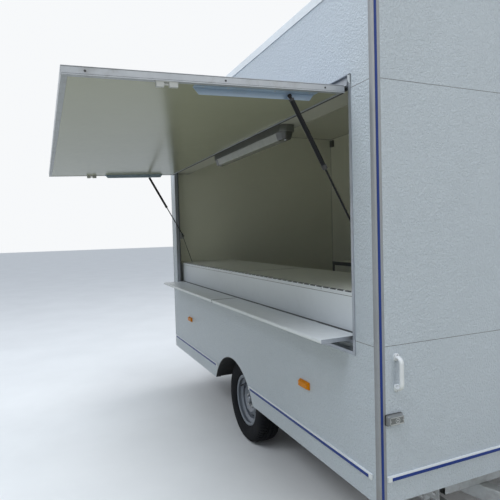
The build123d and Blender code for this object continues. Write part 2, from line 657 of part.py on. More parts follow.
# Left wall in three bands, with its wheel arch and the doorway
LEAF_FRONT = at_station(DOOR_START)
LEAF_REAR = at_station(DOOR_END)
LEAF_BOTTOM = at_height(DOOR_BOTTOM)
LEAF_TOP = at_height(DOOR_TOP)
CUT_FRONT = LEAF_FRONT + DOOR_GAP + DOOR_FRAME
CUT_REAR = LEAF_REAR - DOOR_GAP - DOOR_FRAME
CUT_TOP = LEAF_TOP + DOOR_GAP + DOOR_FRAME
CUT_BOTTOM = LEAF_BOTTOM - DOOR_GAP - DOOR_SILL
with BuildPart() as left_wall:
    with BuildSketch(Plane.XZ.offset(-SIDE)):
        for low, high in BANDS:
            panel_sketch(PANEL_REAR, PANEL_FRONT, low, high)
        panel_sketch(CUT_REAR, CUT_FRONT, CUT_BOTTOM, CUT_TOP, mode=Mode.SUBTRACT)
        with Locations(ARCH_SPOT):
            Circle(ARCH_RADIUS, mode=Mode.SUBTRACT)
    extrude(amount=WALL)
save(left_wall, "left_wall")

# Front and rear walls in three bands
for name, face, inward in (("front_wall", FRONT, -1), ("rear_wall", REAR, 1)):
    with BuildPart() as end_wall:
        with BuildSketch(Plane.YZ.offset(face)):
            for low, high in BANDS:
                panel_sketch(-INNER, INNER, low, high)
        extrude(amount=inward * WALL)
    save(end_wall, name)

# Corner posts: extrusion with a rounded arris and a groove for the blue insert
POST_BOTTOM = SKIRT
CORNERS = [(end, side) for end in (1, -1) for side in (-1, 1)]     # towards front or rear, side
with BuildPart() as corner_posts:
    for end, side in CORNERS:
        x = MIDDLE_X + end * BODY_LENGTH / 2
        with BuildSketch(Plane.XY.offset(POST_BOTTOM)):
            with BuildLine():
                Polyline((x - end * POST_SIDE, side * SIDE), (x - end * 8, side * SIDE),
                         (x - end * 2.3, side * (SIDE - 2.3)), (x, side * (SIDE - 8)),
                         (x, side * (SIDE - INSERT_START)),
                         (x - end * INSERT_DEPTH, side * (SIDE - INSERT_START)),
                         (x - end * INSERT_DEPTH, side * (SIDE - INSERT_START - INSERT_WIDTH)),
                         (x, side * (SIDE - INSERT_START - INSERT_WIDTH)), (x, side * INNER),
                         (x - end * POST_SIDE, side * INNER), close=True)
            make_face()
        extrude(amount=CEILING - POST_BOTTOM)
save(corner_posts, "corner_posts")

# Rubbing strips: runs on each wall by start, end and face
TRIM_Z = at_height(TRIM_BOTTOM)
TRIM_ARCH_HALF = arch_gap_station(TRIM_BOTTOM + TRIM_HEIGHT / 2) + TRIM_ARCH_GAP
SIDE_RUNS = ((PANEL_REAR + TRIM_POST_GAP, AXLE_X - TRIM_ARCH_HALF),
             (AXLE_X + TRIM_ARCH_HALF, PANEL_FRONT - TRIM_POST_GAP))
END_REACH = INNER - 2
SERVING_TRIM = Plane(origin=(0, -SIDE, 0), x_dir=(1, 0, 0), z_dir=(0, -1, 0))
LEFT_TRIM = Plane(origin=(0, SIDE, 0), x_dir=(-1, 0, 0), z_dir=(0, 1, 0))
FRONT_TRIM = Plane(origin=(FRONT, 0, 0), x_dir=(0, 1, 0), z_dir=(1, 0, 0))
REAR_TRIM = Plane(origin=(REAR, 0, 0), x_dir=(0, -1, 0), z_dir=(-1, 0, 0))
LEFT_FRONT_END = CUT_REAR - DOOR_FLANGE - TRIM_DOOR_GAP
RUNS = (                      # plane on the wall, low end and high end along it
    (SERVING_TRIM, *SIDE_RUNS[0]),
    (SERVING_TRIM, *SIDE_RUNS[1]),
    (LEFT_TRIM, -LEFT_FRONT_END, -SIDE_RUNS[1][0]),
    (LEFT_TRIM, -SIDE_RUNS[0][1], -SIDE_RUNS[0][0]),
    (FRONT_TRIM, -END_REACH, END_REACH),
    (REAR_TRIM, -END_REACH, END_REACH))
BLUE_BOTTOM = 2.0
BLUE_HEIGHT = 10.0
with BuildPart() as trim_rails:
    for wall_plane, low, high in RUNS:
        for start, end, proud in ((low, low + TRIM_CAP, TRIM_PROUD + 1),
                                  (low + TRIM_CAP, high - TRIM_CAP, TRIM_PROUD),
                                  (high - TRIM_CAP, high, TRIM_PROUD + 1)):
            with BuildSketch(wall_plane):
                with Locations(((start + end) / 2, TRIM_Z + TRIM_HEIGHT / 2)):
                    Rectangle(end - start, TRIM_HEIGHT)
            extrude(amount=proud)
        with BuildSketch(wall_plane.offset(TRIM_PROUD - 2)):
            with Locations(((low + high) / 2, TRIM_Z + BLUE_BOTTOM + BLUE_HEIGHT / 2)):
                Rectangle(high - low - 2 * TRIM_CAP, BLUE_HEIGHT)
        extrude(amount=4, mode=Mode.SUBTRACT)
save(trim_rails, "trim_rails")

# Blue inserts in the corner posts and the rubbing strips
with BuildPart() as blue_inserts:
    for end, side in CORNERS:
        x = MIDDLE_X + end * BODY_LENGTH / 2
        slab((x - end * INSERT_DEPTH, side * (SIDE - INSERT_START), POST_BOTTOM),
             (x + end * INSERT_PROUD, side * (SIDE - INSERT_START - INSERT_WIDTH), CEILING - ROOF_EDGE - 2))
    for wall_plane, low, high in RUNS:
        with BuildSketch(wall_plane.offset(TRIM_PROUD - 2)):
            with Locations(((low + high) / 2, TRIM_Z + BLUE_BOTTOM + BLUE_HEIGHT / 2)):
                Rectangle(high - low - 2 * TRIM_CAP, BLUE_HEIGHT)
        extrude(amount=2)
save(blue_inserts, "blue_inserts")

# Roof panel and its edge profile, four lengths round it
with BuildPart() as roof_panel:
    slab((REAR, -SIDE, CEILING), (FRONT, SIDE, CEILING + WALL))
save(roof_panel, "roof_panel")

EDGE_LOW = CEILING + WALL + ROOF_EDGE - ROOF_EDGE_LEG
EDGE_TOP = CEILING + WALL + ROOF_EDGE
with BuildPart() as roof_edge:
    for side in (-1, 1):
        edge = side * SIDE
        with BuildSketch(Plane.YZ.offset(REAR - ROOF_EDGE)):
            with BuildLine():
                Polyline((edge, EDGE_LOW), (edge + side * ROOF_EDGE, EDGE_LOW),
                         (edge + side * ROOF_EDGE, EDGE_TOP - 2), (edge + side * (ROOF_EDGE - 2), EDGE_TOP),
                         (edge - side * ROOF_EDGE_LIP, EDGE_TOP),
                         (edge - side * ROOF_EDGE_LIP, EDGE_TOP - ROOF_EDGE),
                         (edge, EDGE_TOP - ROOF_EDGE), close=True)
            make_face()
        extrude(amount=BODY_LENGTH + 2 * ROOF_EDGE)
    for end in (-1, 1):
        edge = MIDDLE_X + end * BODY_LENGTH / 2
        with BuildSketch(Plane.XZ.offset(-SIDE + ROOF_EDGE_LIP + 0.3)):
            with BuildLine():
                Polyline((edge, EDGE_LOW), (edge + end * ROOF_EDGE, EDGE_LOW),
                         (edge + end * ROOF_EDGE, EDGE_TOP - 2), (edge + end * (ROOF_EDGE - 2), EDGE_TOP),
                         (edge - end * ROOF_EDGE_LIP, EDGE_TOP),
                         (edge - end * ROOF_EDGE_LIP, EDGE_TOP - ROOF_EDGE),
                         (edge, EDGE_TOP - ROOF_EDGE), close=True)
            make_face()
        extrude(amount=2 * (SIDE - ROOF_EDGE_LIP - 0.3))
save(roof_edge, "roof_edge")

# Opening frame: jambs, sill and head bar, the head carrying the hinge bead and a drip hood
HINGE_Y = -SIDE - HINGE_PROUD
HINGE_Z = at_height(HINGE_HEIGHT)
SILL_TOP = at_height(OPENING_BOTTOM) + FRAME_SILL
HEAD_UNDER = at_height(OPENING_TOP) - FRAME_HEAD
FLANGE_FRONT = OPENING_FRONT + FRAME_OVERLAP
FLANGE_REAR = OPENING_REAR - FRAME_OVERLAP
with BuildPart() as opening_frame:
    for edge, jamb, flange in ((OPENING_FRONT, JAMB_FRONT, FLANGE_FRONT),
                               (OPENING_REAR, JAMB_REAR, FLANGE_REAR)):
        with BuildSketch(Plane.XY.offset(SILL_TOP + 0.3)):
            with BuildLine():
                Polyline((flange, -SIDE), (flange, -SIDE - FRAME_PROUD), (jamb, -SIDE - FRAME_PROUD),
                         (jamb, -INNER), (edge, -INNER), (edge, -SIDE), close=True)
            make_face()
        extrude(amount=HEAD_UNDER - SILL_TOP - 0.6)
    with BuildSketch(Plane.YZ.offset(FLANGE_REAR)):
        with BuildLine():
            Polyline((-SIDE, SILL_TOP), (-SIDE - FRAME_PROUD, SILL_TOP),
                     (-SIDE - FRAME_PROUD, SILL_TOP - FRAME_SILL - FRAME_OVERLAP),
                     (-SIDE, SILL_TOP - FRAME_SILL - FRAME_OVERLAP), close=True)
        make_face()
    extrude(amount=FLANGE_FRONT - FLANGE_REAR)
    slab((OPENING_REAR, -SIDE, SILL_TOP - FRAME_SILL), (OPENING_FRONT, -INNER, SILL_TOP))
    slab((OPENING_REAR, -SIDE, HEAD_UNDER), (OPENING_FRONT, -INNER, at_height(OPENING_TOP)))
    with BuildSketch(Plane.YZ.offset(FLANGE_REAR)):
        with BuildLine():
            Polyline((-SIDE, HEAD_UNDER), (-SIDE - HOOD_SHEET, HEAD_UNDER),
                     (-SIDE - HOOD_SHEET, HEAD_UNDER + HOOD_HEIGHT - 5),
                     (-SIDE - HOOD_REACH + 2, HEAD_UNDER + HOOD_HEIGHT - 11),
                     (-SIDE - HOOD_REACH, HEAD_UNDER + HOOD_HEIGHT - 8),
                     (-SIDE - HOOD_SHEET, HEAD_UNDER + HOOD_HEIGHT),
                     (-SIDE, HEAD_UNDER + HOOD_HEIGHT), close=True)
        make_face()
    extrude(amount=FLANGE_FRONT - FLANGE_REAR)
    with BuildSketch(Plane.YZ.offset(JAMB_REAR + 1)):
        with Locations((HINGE_Y, HINGE_Z)):
            Circle(BEAD_RADIUS)
        with Locations((HINGE_Y, (HINGE_Z + HEAD_UNDER + BEAD_STEM) / 2)):
            Rectangle(4, HEAD_UNDER + BEAD_STEM - HINGE_Z)
    extrude(amount=JAMB_FRONT - JAMB_REAR - 2)
save(opening_frame, "opening_frame")

# Hatch: panel in a channel frame, with a claw along its upper edge round the hinge bead.
# Its own plane has +X forward, +Y from the hinge to the lower edge, +Z into the trailer.
TURN = math.radians(HATCH_OPEN_ANGLE)
HATCH_INWARD = Vector(0, math.cos(TURN), -math.sin(TURN))
HATCH_ALONG = Vector(0, -math.sin(TURN), -math.cos(TURN))
HATCH_PLANE = Plane(origin=(0, HINGE_Y, HINGE_Z), x_dir=(1, 0, 0), z_dir=HATCH_INWARD)
HATCH_FRONT = JAMB_FRONT - HATCH_SIDE_GAP
HATCH_REAR = JAMB_REAR + HATCH_SIDE_GAP
HATCH_END = HINGE_Z - SILL_TOP - HATCH_SILL_GAP
with BuildPart(HATCH_PLANE) as hatch_panel:
    slab((HATCH_REAR + HATCH_WEB, HATCH_START + HATCH_WEB, HATCH_SKIN),
         (HATCH_FRONT - HATCH_WEB, HATCH_END - HATCH_WEB, HATCH_THICKNESS - HATCH_SKIN))
save(hatch_panel, "hatch_panel")

SKIN_IN = HATCH_THICKNESS - HATCH_SKIN
CLAW_MOUTH = [(20 * math.cos(math.radians(lip)), 20 * math.sin(math.radians(lip))) for lip in (140, 300)]
with BuildPart(HATCH_PLANE) as hatch_frame:
    for edge, inward in ((HATCH_FRONT, -1), (HATCH_REAR, 1)):
        slab((edge, HATCH_START, 0), (edge + inward * HATCH_RAIL, HATCH_END, HATCH_THICKNESS))
        slab((edge + inward * HATCH_WEB, HATCH_START - 1, HATCH_SKIN),
             (edge + inward * (HATCH_RAIL + 1), HATCH_END + 1, SKIN_IN), mode=Mode.SUBTRACT)
    for edge, inward in ((HATCH_START, 1), (HATCH_END, -1)):
        low = HATCH_REAR + HATCH_RAIL + 0.3
        high = HATCH_FRONT - HATCH_RAIL - 0.3
        slab((low, edge, 0), (high, edge + inward * HATCH_RAIL, HATCH_THICKNESS))
        slab((low - 1, edge + inward * HATCH_WEB, HATCH_SKIN),
             (high + 1, edge + inward * (HATCH_RAIL + 1), SKIN_IN), mode=Mode.SUBTRACT)
    claw_plane = Plane(origin=(HATCH_REAR + HATCH_RAIL + 0.3, HINGE_Y, HINGE_Z),
                       x_dir=HATCH_ALONG, z_dir=(1, 0, 0))
    with BuildSketch(claw_plane):
        Circle(CLAW_RADIUS)
        with Locations((HATCH_START / 2 + 2, 3)):
            Rectangle(HATCH_START - 3, 6)
        Circle(BEAD_RADIUS + RUNNING_GAP, mode=Mode.SUBTRACT)
        with BuildLine():
            Polyline((0, 0), CLAW_MOUTH[0], (-20, -10), CLAW_MOUTH[1], close=True)
        make_face(mode=Mode.SUBTRACT)
    extrude(amount=HATCH_FRONT - HATCH_REAR - 2 * HATCH_RAIL - 0.6)
save(hatch_frame, "hatch_frame")

# Hatch latches: catch and lever on a common base at each side, with a pin between them
with BuildPart(HATCH_PLANE) as hatch_latches:
    for edge, inward in ((HATCH_FRONT, -1), (HATCH_REAR, 1)):
        middle = edge + inward * (HATCH_RAIL / 2 + 0.5)
        ends = (LATCH_CATCH_START, LATCH_LEVER_START + LATCH_LEVER_LENGTH)
        with BuildSketch(HATCH_PLANE.offset(HATCH_THICKNESS)):
            with Locations((middle, (ends[0] + ends[1]) / 2)):
                RectangleRounded(LATCH_BLOCK_WIDTH + 2, ends[1] - ends[0] + 4, 3)
        extrude(amount=LATCH_BASE)
        with BuildSketch(HATCH_PLANE.offset(HATCH_THICKNESS + LATCH_BASE)):
            with Locations((middle, LATCH_CATCH_START + LATCH_CATCH_LENGTH / 2)):
                RectangleRounded(LATCH_BLOCK_WIDTH, LATCH_CATCH_LENGTH, 3)
            with Locations((middle, LATCH_LEVER_START + LATCH_LEVER_LENGTH / 2)):
                RectangleRounded(LATCH_BLOCK_WIDTH, LATCH_LEVER_LENGTH, 3)
        extrude(amount=LATCH_BLOCK_RISE - LATCH_BASE, taper=4)
        pin_start = LATCH_CATCH_START + LATCH_CATCH_LENGTH - 4
        pin_plane = Plane(origin=(0, HINGE_Y, HINGE_Z), x_dir=(1, 0, 0), z_dir=HATCH_ALONG)
        with BuildSketch(pin_plane.offset(pin_start)):
            with Locations((middle, -HATCH_THICKNESS - LATCH_BLOCK_RISE / 2)):
                Circle(LATCH_PIN_RADIUS)
        extrude(amount=LATCH_LEVER_START + 4 - pin_start)
save(hatch_latches, "hatch_latches")

# Strut rails: angles under the hatch, bevelled at both ends, each with a ball stud
STRUTS = (("front", JAMB_FRONT, -1), ("rear", JAMB_REAR, 1))       # name, jamb face, way into the opening
MOUNT_DEPTH = HATCH_THICKNESS + STRUT_MOUNT_DROP
RAIL_TIP = SKIN_IN + STRUT_RAIL_SHEET + STRUT_RAIL_LEG
with BuildPart() as strut_rails:
    for name, jamb, inward in STRUTS:
        leg = jamb + inward * (STRUT_INSET + 22)
        with BuildSketch(Plane(origin=(leg, HINGE_Y, HINGE_Z), x_dir=HATCH_ALONG, z_dir=(1, 0, 0))):
            with BuildLine():
                Polyline((STRUT_RAIL_START, SKIN_IN), (STRUT_RAIL_END, SKIN_IN),
                         (STRUT_RAIL_END - STRUT_RAIL_BEVEL, RAIL_TIP),
                         (STRUT_RAIL_START + STRUT_RAIL_BEVEL, RAIL_TIP), close=True)
            make_face()
        extrude(amount=inward * STRUT_RAIL_SHEET)
        with BuildSketch(HATCH_PLANE.offset(SKIN_IN)):
            with Locations((leg - inward * STRUT_RAIL_BASE / 2, (STRUT_RAIL_START + STRUT_RAIL_END) / 2)):
                Rectangle(STRUT_RAIL_BASE, STRUT_RAIL_END - STRUT_RAIL_START)
        extrude(amount=STRUT_RAIL_SHEET)
        with BuildSketch(Plane(origin=(leg, HINGE_Y, HINGE_Z), x_dir=HATCH_ALONG, z_dir=(1, 0, 0))):
            with Locations((STRUT_MOUNT_REACH, MOUNT_DEPTH)):
                Circle(STUD_RADIUS)
        extrude(amount=-inward * (22 + EYE_THICKNESS / 2 + 2))
save(strut_rails, "strut_rails")

# Strut brackets on the pillars' inner faces, each with a stud that stops short of the rod's eye
FOOT_Y = -SIDE + STRUT_FOOT_INSET
FOOT_Z = at_height(STRUT_FOOT_HEIGHT)
with BuildPart() as strut_brackets:
    for name, jamb, inward in STRUTS:
        slab((jamb, -INNER, FOOT_Z - 30), (jamb - inward * 46, -INNER + 3, FOOT_Z + 30))
        slab((jamb, -INNER, FOOT_Z - 30), (jamb - inward * 3, FOOT_Y + 12, FOOT_Z + 30))
        with BuildSketch(Plane.YZ.offset(jamb - inward * 3)):
            with Locations((FOOT_Y, FOOT_Z)):
                Circle(STUD_RADIUS)
        extrude(amount=inward * (3 + STRUT_INSET - EYE_THICKNESS / 2 - FOOT_GAP))
save(strut_brackets, "strut_brackets")

# Gas struts, drawn in a plane across the trailer: +X down the strut, from its upper pivot
MOUNT = Vector(0, HINGE_Y, HINGE_Z) + HATCH_ALONG * STRUT_MOUNT_REACH + HATCH_INWARD * MOUNT_DEPTH
FOOT = Vector(0, FOOT_Y, FOOT_Z)
STRUT_LENGTH = (FOOT - MOUNT).length
STRUT_ALONG = (FOOT - MOUNT).normalized()
ROD_TOP = CYLINDER_LENGTH - ROD_ENGAGEMENT
BORE_TOP = EYE_RADIUS + 6.0
for name, jamb, inward in STRUTS:
    middle = jamb + inward * STRUT_INSET
    strut_face = Plane(origin=(middle, MOUNT.Y, MOUNT.Z), x_dir=STRUT_ALONG, z_dir=(1, 0, 0))
    across = Plane(origin=(middle, MOUNT.Y, MOUNT.Z), x_dir=(1, 0, 0), z_dir=STRUT_ALONG)
    with BuildPart() as cylinder:
        with BuildSketch(strut_face.offset(-EYE_THICKNESS / 2)):
            Circle(EYE_RADIUS)
            with Locations((EYE_RADIUS, 0)):
                Rectangle(2 * EYE_RADIUS, 12)
        extrude(amount=EYE_THICKNESS)
        with BuildSketch(across.offset(EYE_RADIUS + 4)):
            Circle(CYLINDER_RADIUS)
        extrude(amount=CYLINDER_LENGTH - EYE_RADIUS - 4)
        with BuildSketch(across.offset(BORE_TOP)):
            Circle(ROD_RADIUS + RUNNING_GAP)
        extrude(amount=CYLINDER_LENGTH - BORE_TOP + 1, mode=Mode.SUBTRACT)
        with BuildSketch(strut_face.offset(-EYE_THICKNESS)):
            Circle(STUD_RADIUS + RUNNING_GAP)
        extrude(amount=2 * EYE_THICKNESS, mode=Mode.SUBTRACT)
    save(cylinder, f"strut_cylinder_{name}")
    with BuildPart() as rod:
        with BuildSketch(across.offset(ROD_TOP)):
            Circle(ROD_RADIUS)
        extrude(amount=STRUT_LENGTH - EYE_RADIUS - ROD_TOP)
        with BuildSketch(strut_face.offset(-EYE_THICKNESS / 2)):
            with Locations((STRUT_LENGTH, 0)):
                Circle(EYE_RADIUS)
            with Locations((STRUT_LENGTH - EYE_RADIUS - 3, 0)):
                Rectangle(16, 12)
            with Locations((STRUT_LENGTH, 0)):
                Circle(STUD_RADIUS, mode=Mode.SUBTRACT)
        extrude(amount=EYE_THICKNESS)
    save(rod, f"strut_rod_{name}")

# Counter unit: front board behind the opening and partitions carrying the worktop
BOARD_Y = -SIDE + BOARD_INSET
WORKTOP_UNDER = at_height(WORKTOP_TOP) - WORKTOP_THICKNESS
BOX_CLEAR = NOTCH_HALF + 20
LINER_TOP = ARCH_Z + LINER_OUTER_R
PARTITION_STATIONS = (60.0, AXLE_STATION - 648.0, AXLE_STATION + 602.0, BODY_LENGTH - 60.0)
with BuildPart() as counter_unit:
    with BuildSketch(Plane.XZ.offset(-BOARD_Y)):
        panel_sketch(REAR + WALL + 1, FRONT - WALL - 1, FLOOR_TOP, WORKTOP_UNDER)
        panel_sketch(AXLE_X - BOX_CLEAR, AXLE_X + BOX_CLEAR, FLOOR_TOP - 1, LINER_TOP + 20,
                     mode=Mode.SUBTRACT)
    extrude(amount=-BOARD_THICKNESS)
    for station in PARTITION_STATIONS:
        slab((at_station(station) - PARTITION_THICKNESS / 2, BOARD_Y + BOARD_THICKNESS, FLOOR_TOP),
             (at_station(station) + PARTITION_THICKNESS / 2, BOARD_Y + BOARD_THICKNESS + PARTITION_DEPTH,
              WORKTOP_UNDER))
save(counter_unit, "counter_unit")

# Worktop in two panels that meet at mid length
with BuildPart() as worktop:
    for low, high in ((REAR + WALL + 1, MIDDLE_X - WORKTOP_GAP / 2),
                      (MIDDLE_X + WORKTOP_GAP / 2, FRONT - WALL - 1)):
        with BuildSketch(Plane.XY.offset(WORKTOP_UNDER)):
            with Locations(((low + high) / 2, BOARD_Y + WORKTOP_DEPTH / 2)):
                Rectangle(high - low, WORKTOP_DEPTH)
        extrude(amount=WORKTOP_THICKNESS)
save(worktop, "worktop")

# Shelf sections, each on a pin hinge along its inner edge and resting on a ledge
PIN_Y = -SIDE + SHELF_PIN_INSET
PIN_Z = at_height(SHELF_TOP) - SHELF_PIN_DROP
SHELF_EDGE_Y = PIN_Y - SHELF_EDGE_GAP
SHELF_UNDER = at_height(SHELF_TOP) - SHELF_THICKNESS
SHELVES = (("front", MIDDLE_X + SHELF_GAP / 2, FRONT - SHELF_END_MARGIN),
           ("rear", REAR + SHELF_END_MARGIN, MIDDLE_X - SHELF_GAP / 2))       # name, low end, high end
KNUCKLES = 5                                                                  # per section
for name, low, high in SHELVES:
    pitch = (high - low - 2 * KNUCKLE_LENGTH) / (KNUCKLES - 1)
    with BuildPart() as shelf:
        with BuildSketch(Plane.YZ.offset(low)):
            with BuildLine():
                Polyline((SHELF_EDGE_Y, SHELF_UNDER), (SHELF_EDGE_Y, SHELF_UNDER + SHELF_THICKNESS),
                         (SHELF_EDGE_Y - SHELF_REACH + 3, SHELF_UNDER + SHELF_THICKNESS),
                         (SHELF_EDGE_Y - SHELF_REACH, SHELF_UNDER + SHELF_THICKNESS - 3),
                         (SHELF_EDGE_Y - SHELF_REACH, SHELF_UNDER + 3),
                         (SHELF_EDGE_Y - SHELF_REACH + 3, SHELF_UNDER), close=True)
            make_face()
        extrude(amount=high - low)
        for index in range(1, KNUCKLES, 2):
            start = low + KNUCKLE_LENGTH / 2 + index * pitch
            with BuildSketch(Plane.YZ.offset(start)):
                with Locations((PIN_Y, PIN_Z)):
                    Circle(SHELF_KNUCKLE_RADIUS)
                with Locations((PIN_Y - SHELF_EDGE_GAP / 2, PIN_Z)):
                    Rectangle(SHELF_EDGE_GAP, 6)
                with Locations((PIN_Y, PIN_Z)):
                    Circle(SHELF_PIN_RADIUS + RUNNING_GAP, mode=Mode.SUBTRACT)
            extrude(amount=KNUCKLE_LENGTH)
    save(shelf, f"shelf_{name}")

# Shelf ledges: angles on the board with the fixed knuckles and the pins
with BuildPart() as shelf_ledges:
    for name, low, high in SHELVES:
        pitch = (high - low - 2 * KNUCKLE_LENGTH) / (KNUCKLES - 1)
        slab((low, BOARD_Y, SHELF_UNDER - LEDGE_HEIGHT), (high, BOARD_Y - LEDGE_SHEET, SHELF_UNDER - 0.3))
        slab((low, BOARD_Y, SHELF_UNDER - 0.3 - LEDGE_SHEET),
             (high, BOARD_Y - LEDGE_REACH, SHELF_UNDER - 0.3))
        for index in range(0, KNUCKLES, 2):
            start = low + KNUCKLE_LENGTH / 2 + index * pitch
            slab((start, BOARD_Y, SHELF_UNDER - 5),
                 (start + KNUCKLE_LENGTH, BOARD_Y - LEDGE_SHEET, PIN_Z + 2))
            slab((start, BOARD_Y, PIN_Z - 3), (start + KNUCKLE_LENGTH, PIN_Y, PIN_Z + 2))
            with BuildSketch(Plane.YZ.offset(start)):
                with Locations((PIN_Y, PIN_Z)):
                    Circle(SHELF_KNUCKLE_RADIUS)
            extrude(amount=KNUCKLE_LENGTH)
        with BuildSketch(Plane.YZ.offset(low + KNUCKLE_LENGTH / 2)):
            with Locations((PIN_Y, PIN_Z)):
                Circle(SHELF_PIN_RADIUS)
        extrude(amount=(KNUCKLES - 1) * pitch + KNUCKLE_LENGTH)
save(shelf_ledges, "shelf_ledges")

# Header box above the opening inside, and the batten lamp under it
SOFFIT_Z = at_height(SOFFIT_HEIGHT)
with BuildPart() as header_box:
    with BuildSketch(Plane.YZ.offset(REAR + WALL + 1)):
        with BuildLine():
            Polyline((-INNER, SOFFIT_Z), (-INNER + SOFFIT_DEPTH, SOFFIT_Z), (-INNER + SOFFIT_DEPTH, CEILING),
                     (-INNER + SOFFIT_DEPTH - SOFFIT_BOARD, CEILING),
                     (-INNER + SOFFIT_DEPTH - SOFFIT_BOARD, SOFFIT_Z + SOFFIT_BOARD),
                     (-INNER, SOFFIT_Z + SOFFIT_BOARD), close=True)
        make_face()
    extrude(amount=BODY_LENGTH - 2 * WALL - 2)
save(header_box, "header_box")

LAMP_Y = -SIDE + LAMP_INSET
LAMP_MIDDLE = at_station(LAMP_START + LAMP_LENGTH / 2)
with BuildPart() as lamp_base:
    with BuildSketch(Plane.XY.offset(SOFFIT_Z)):
        with Locations((LAMP_MIDDLE, LAMP_Y)):
            RectangleRounded(LAMP_LENGTH, LAMP_WIDTH, LAMP_CORNER)
    extrude(amount=-LAMP_BASE)
save(lamp_base, "lamp_base")

with BuildPart() as lamp_diffuser:
    with BuildSketch(Plane.XY.offset(SOFFIT_Z - LAMP_BASE)):
        with Locations((LAMP_MIDDLE, LAMP_Y)):
            RectangleRounded(LAMP_LENGTH - 2 * LAMP_STEP, LAMP_WIDTH - 2 * LAMP_STEP,
                             LAMP_CORNER - LAMP_STEP)
    extrude(amount=-LAMP_LENS, taper=18)
    fillet(lamp_diffuser.faces().sort_by(Axis.Z)[0].edges(), LAMP_SOFT)
save(lamp_diffuser, "lamp_diffuser")

# Back counter along the left wall: slab on a front board and two end boards
BACK_FRONT_Y = INNER - BACK_DEPTH
BACK_Z = at_height(BACK_TOP)
with BuildPart() as back_counter:
    slab((at_station(BACK_START), BACK_FRONT_Y - 4, BACK_Z - BACK_SLAB),
         (at_station(BACK_END), INNER, BACK_Z))
    slab((at_station(BACK_START) - 4, BACK_FRONT_Y, FLOOR_TOP),
         (at_station(BACK_END) + 4, BACK_FRONT_Y + BOARD_THICKNESS, BACK_Z - 1))
    for station in (BACK_START + 4, BACK_END - 4 - PARTITION_THICKNESS):
        slab((at_station(station), BACK_FRONT_Y, FLOOR_TOP),
             (at_station(station) - PARTITION_THICKNESS, INNER, BACK_Z - 1))
save(back_counter, "back_counter")

# Side door frame: four bars lining the doorway, with the fixed hinge knuckles
DOOR_AXIS_X = LEAF_FRONT + DOOR_AXIS_AHEAD
DOOR_AXIS_Y = SIDE + DOOR_AXIS_OFFSET
FLANGE_Y = SIDE + DOOR_FLANGE_PROUD
HINGE_PLATE = 6.0
with BuildPart() as door_frame:
    for edge, away in ((LEAF_FRONT + DOOR_GAP, 1), (LEAF_REAR - DOOR_GAP, -1)):
        with BuildSketch(Plane.XY.offset(CUT_BOTTOM + DOOR_SILL + 0.3)):
            with BuildLine():
                Polyline((edge, FLANGE_Y), (edge + away * (DOOR_FRAME + DOOR_FLANGE), FLANGE_Y),
                         (edge + away * (DOOR_FRAME + DOOR_FLANGE), SIDE), (edge + away * DOOR_FRAME, SIDE),
                         (edge + away * DOOR_FRAME, INNER), (edge, INNER), close=True)
            make_face()
        extrude(amount=CUT_TOP - CUT_BOTTOM - DOOR_FRAME - DOOR_SILL - 0.6)
    slab((CUT_REAR - DOOR_FLANGE, FLANGE_Y, CUT_TOP - DOOR_FRAME),
         (CUT_FRONT + DOOR_FLANGE, SIDE, CUT_TOP + DOOR_FLANGE))
    slab((CUT_REAR, SIDE, CUT_TOP - DOOR_FRAME), (CUT_FRONT, INNER, CUT_TOP))
    slab((CUT_REAR, SIDE, CUT_BOTTOM), (CUT_FRONT, INNER, CUT_BOTTOM + DOOR_SILL))
    for hinge_height in DOOR_HINGE_HEIGHTS:
        base = at_height(hinge_height)
        slab((DOOR_AXIS_X - 6, FLANGE_Y + HINGE_PLATE, base),
             (CUT_FRONT + 8, FLANGE_Y, base + DOOR_BARREL / 2 - RUNNING_GAP))
        with BuildSketch(Plane.XY.offset(base)):
            with Locations((DOOR_AXIS_X, DOOR_AXIS_Y)):
                Circle(DOOR_BARREL_RADIUS)
        extrude(amount=DOOR_BARREL / 2 - RUNNING_GAP)
        with BuildSketch(Plane.XY.offset(base)):
            with Locations((DOOR_AXIS_X, DOOR_AXIS_Y)):
                Circle(DOOR_PIN_RADIUS)
        extrude(amount=DOOR_BARREL - 6)
save(door_frame, "door_frame")

# Side door leaf with its strap hinges
STRAP_REACH = 170.0
with BuildPart() as side_door:
    slab((LEAF_REAR, SIDE, LEAF_BOTTOM), (LEAF_FRONT, SIDE - DOOR_THICKNESS, LEAF_TOP))
    with BuildSketch(Plane.XZ.offset(DOOR_THICKNESS - SIDE)):
        panel_sketch(LEAF_REAR, LEAF_FRONT, LEAF_BOTTOM, LEAF_TOP)
        panel_sketch(LEAF_REAR + DOOR_BORDER, LEAF_FRONT - DOOR_BORDER, LEAF_BOTTOM + DOOR_BORDER,
                     LEAF_TOP - DOOR_BORDER, mode=Mode.SUBTRACT)
    extrude(amount=DOOR_BORDER_PROUD)
    for hinge_height in DOOR_HINGE_HEIGHTS:
        low = at_height(hinge_height) + DOOR_BARREL / 2
        high = at_height(hinge_height) + DOOR_BARREL
        with BuildSketch(Plane.XY.offset(low)):
            with Locations((DOOR_AXIS_X, DOOR_AXIS_Y)):
                Circle(DOOR_BARREL_RADIUS)
            with BuildLine():
                Polyline((DOOR_AXIS_X, DOOR_AXIS_Y + 3), (DOOR_AXIS_X, DOOR_AXIS_Y - 3),
                         (LEAF_FRONT - 6, SIDE + HINGE_PLATE), (LEAF_FRONT - 6, SIDE),
                         (LEAF_FRONT - STRAP_REACH, SIDE), (LEAF_FRONT - STRAP_REACH, SIDE + HINGE_PLATE),
                         (LEAF_FRONT - 24, SIDE + HINGE_PLATE), close=True)
            make_face()
        extrude(amount=high - low)
        with BuildSketch(Plane.XY.offset(low - 1)):
            with Locations((DOOR_AXIS_X, DOOR_AXIS_Y)):
                Circle(DOOR_PIN_RADIUS + RUNNING_GAP)
        extrude(amount=high - low - 4, mode=Mode.SUBTRACT)
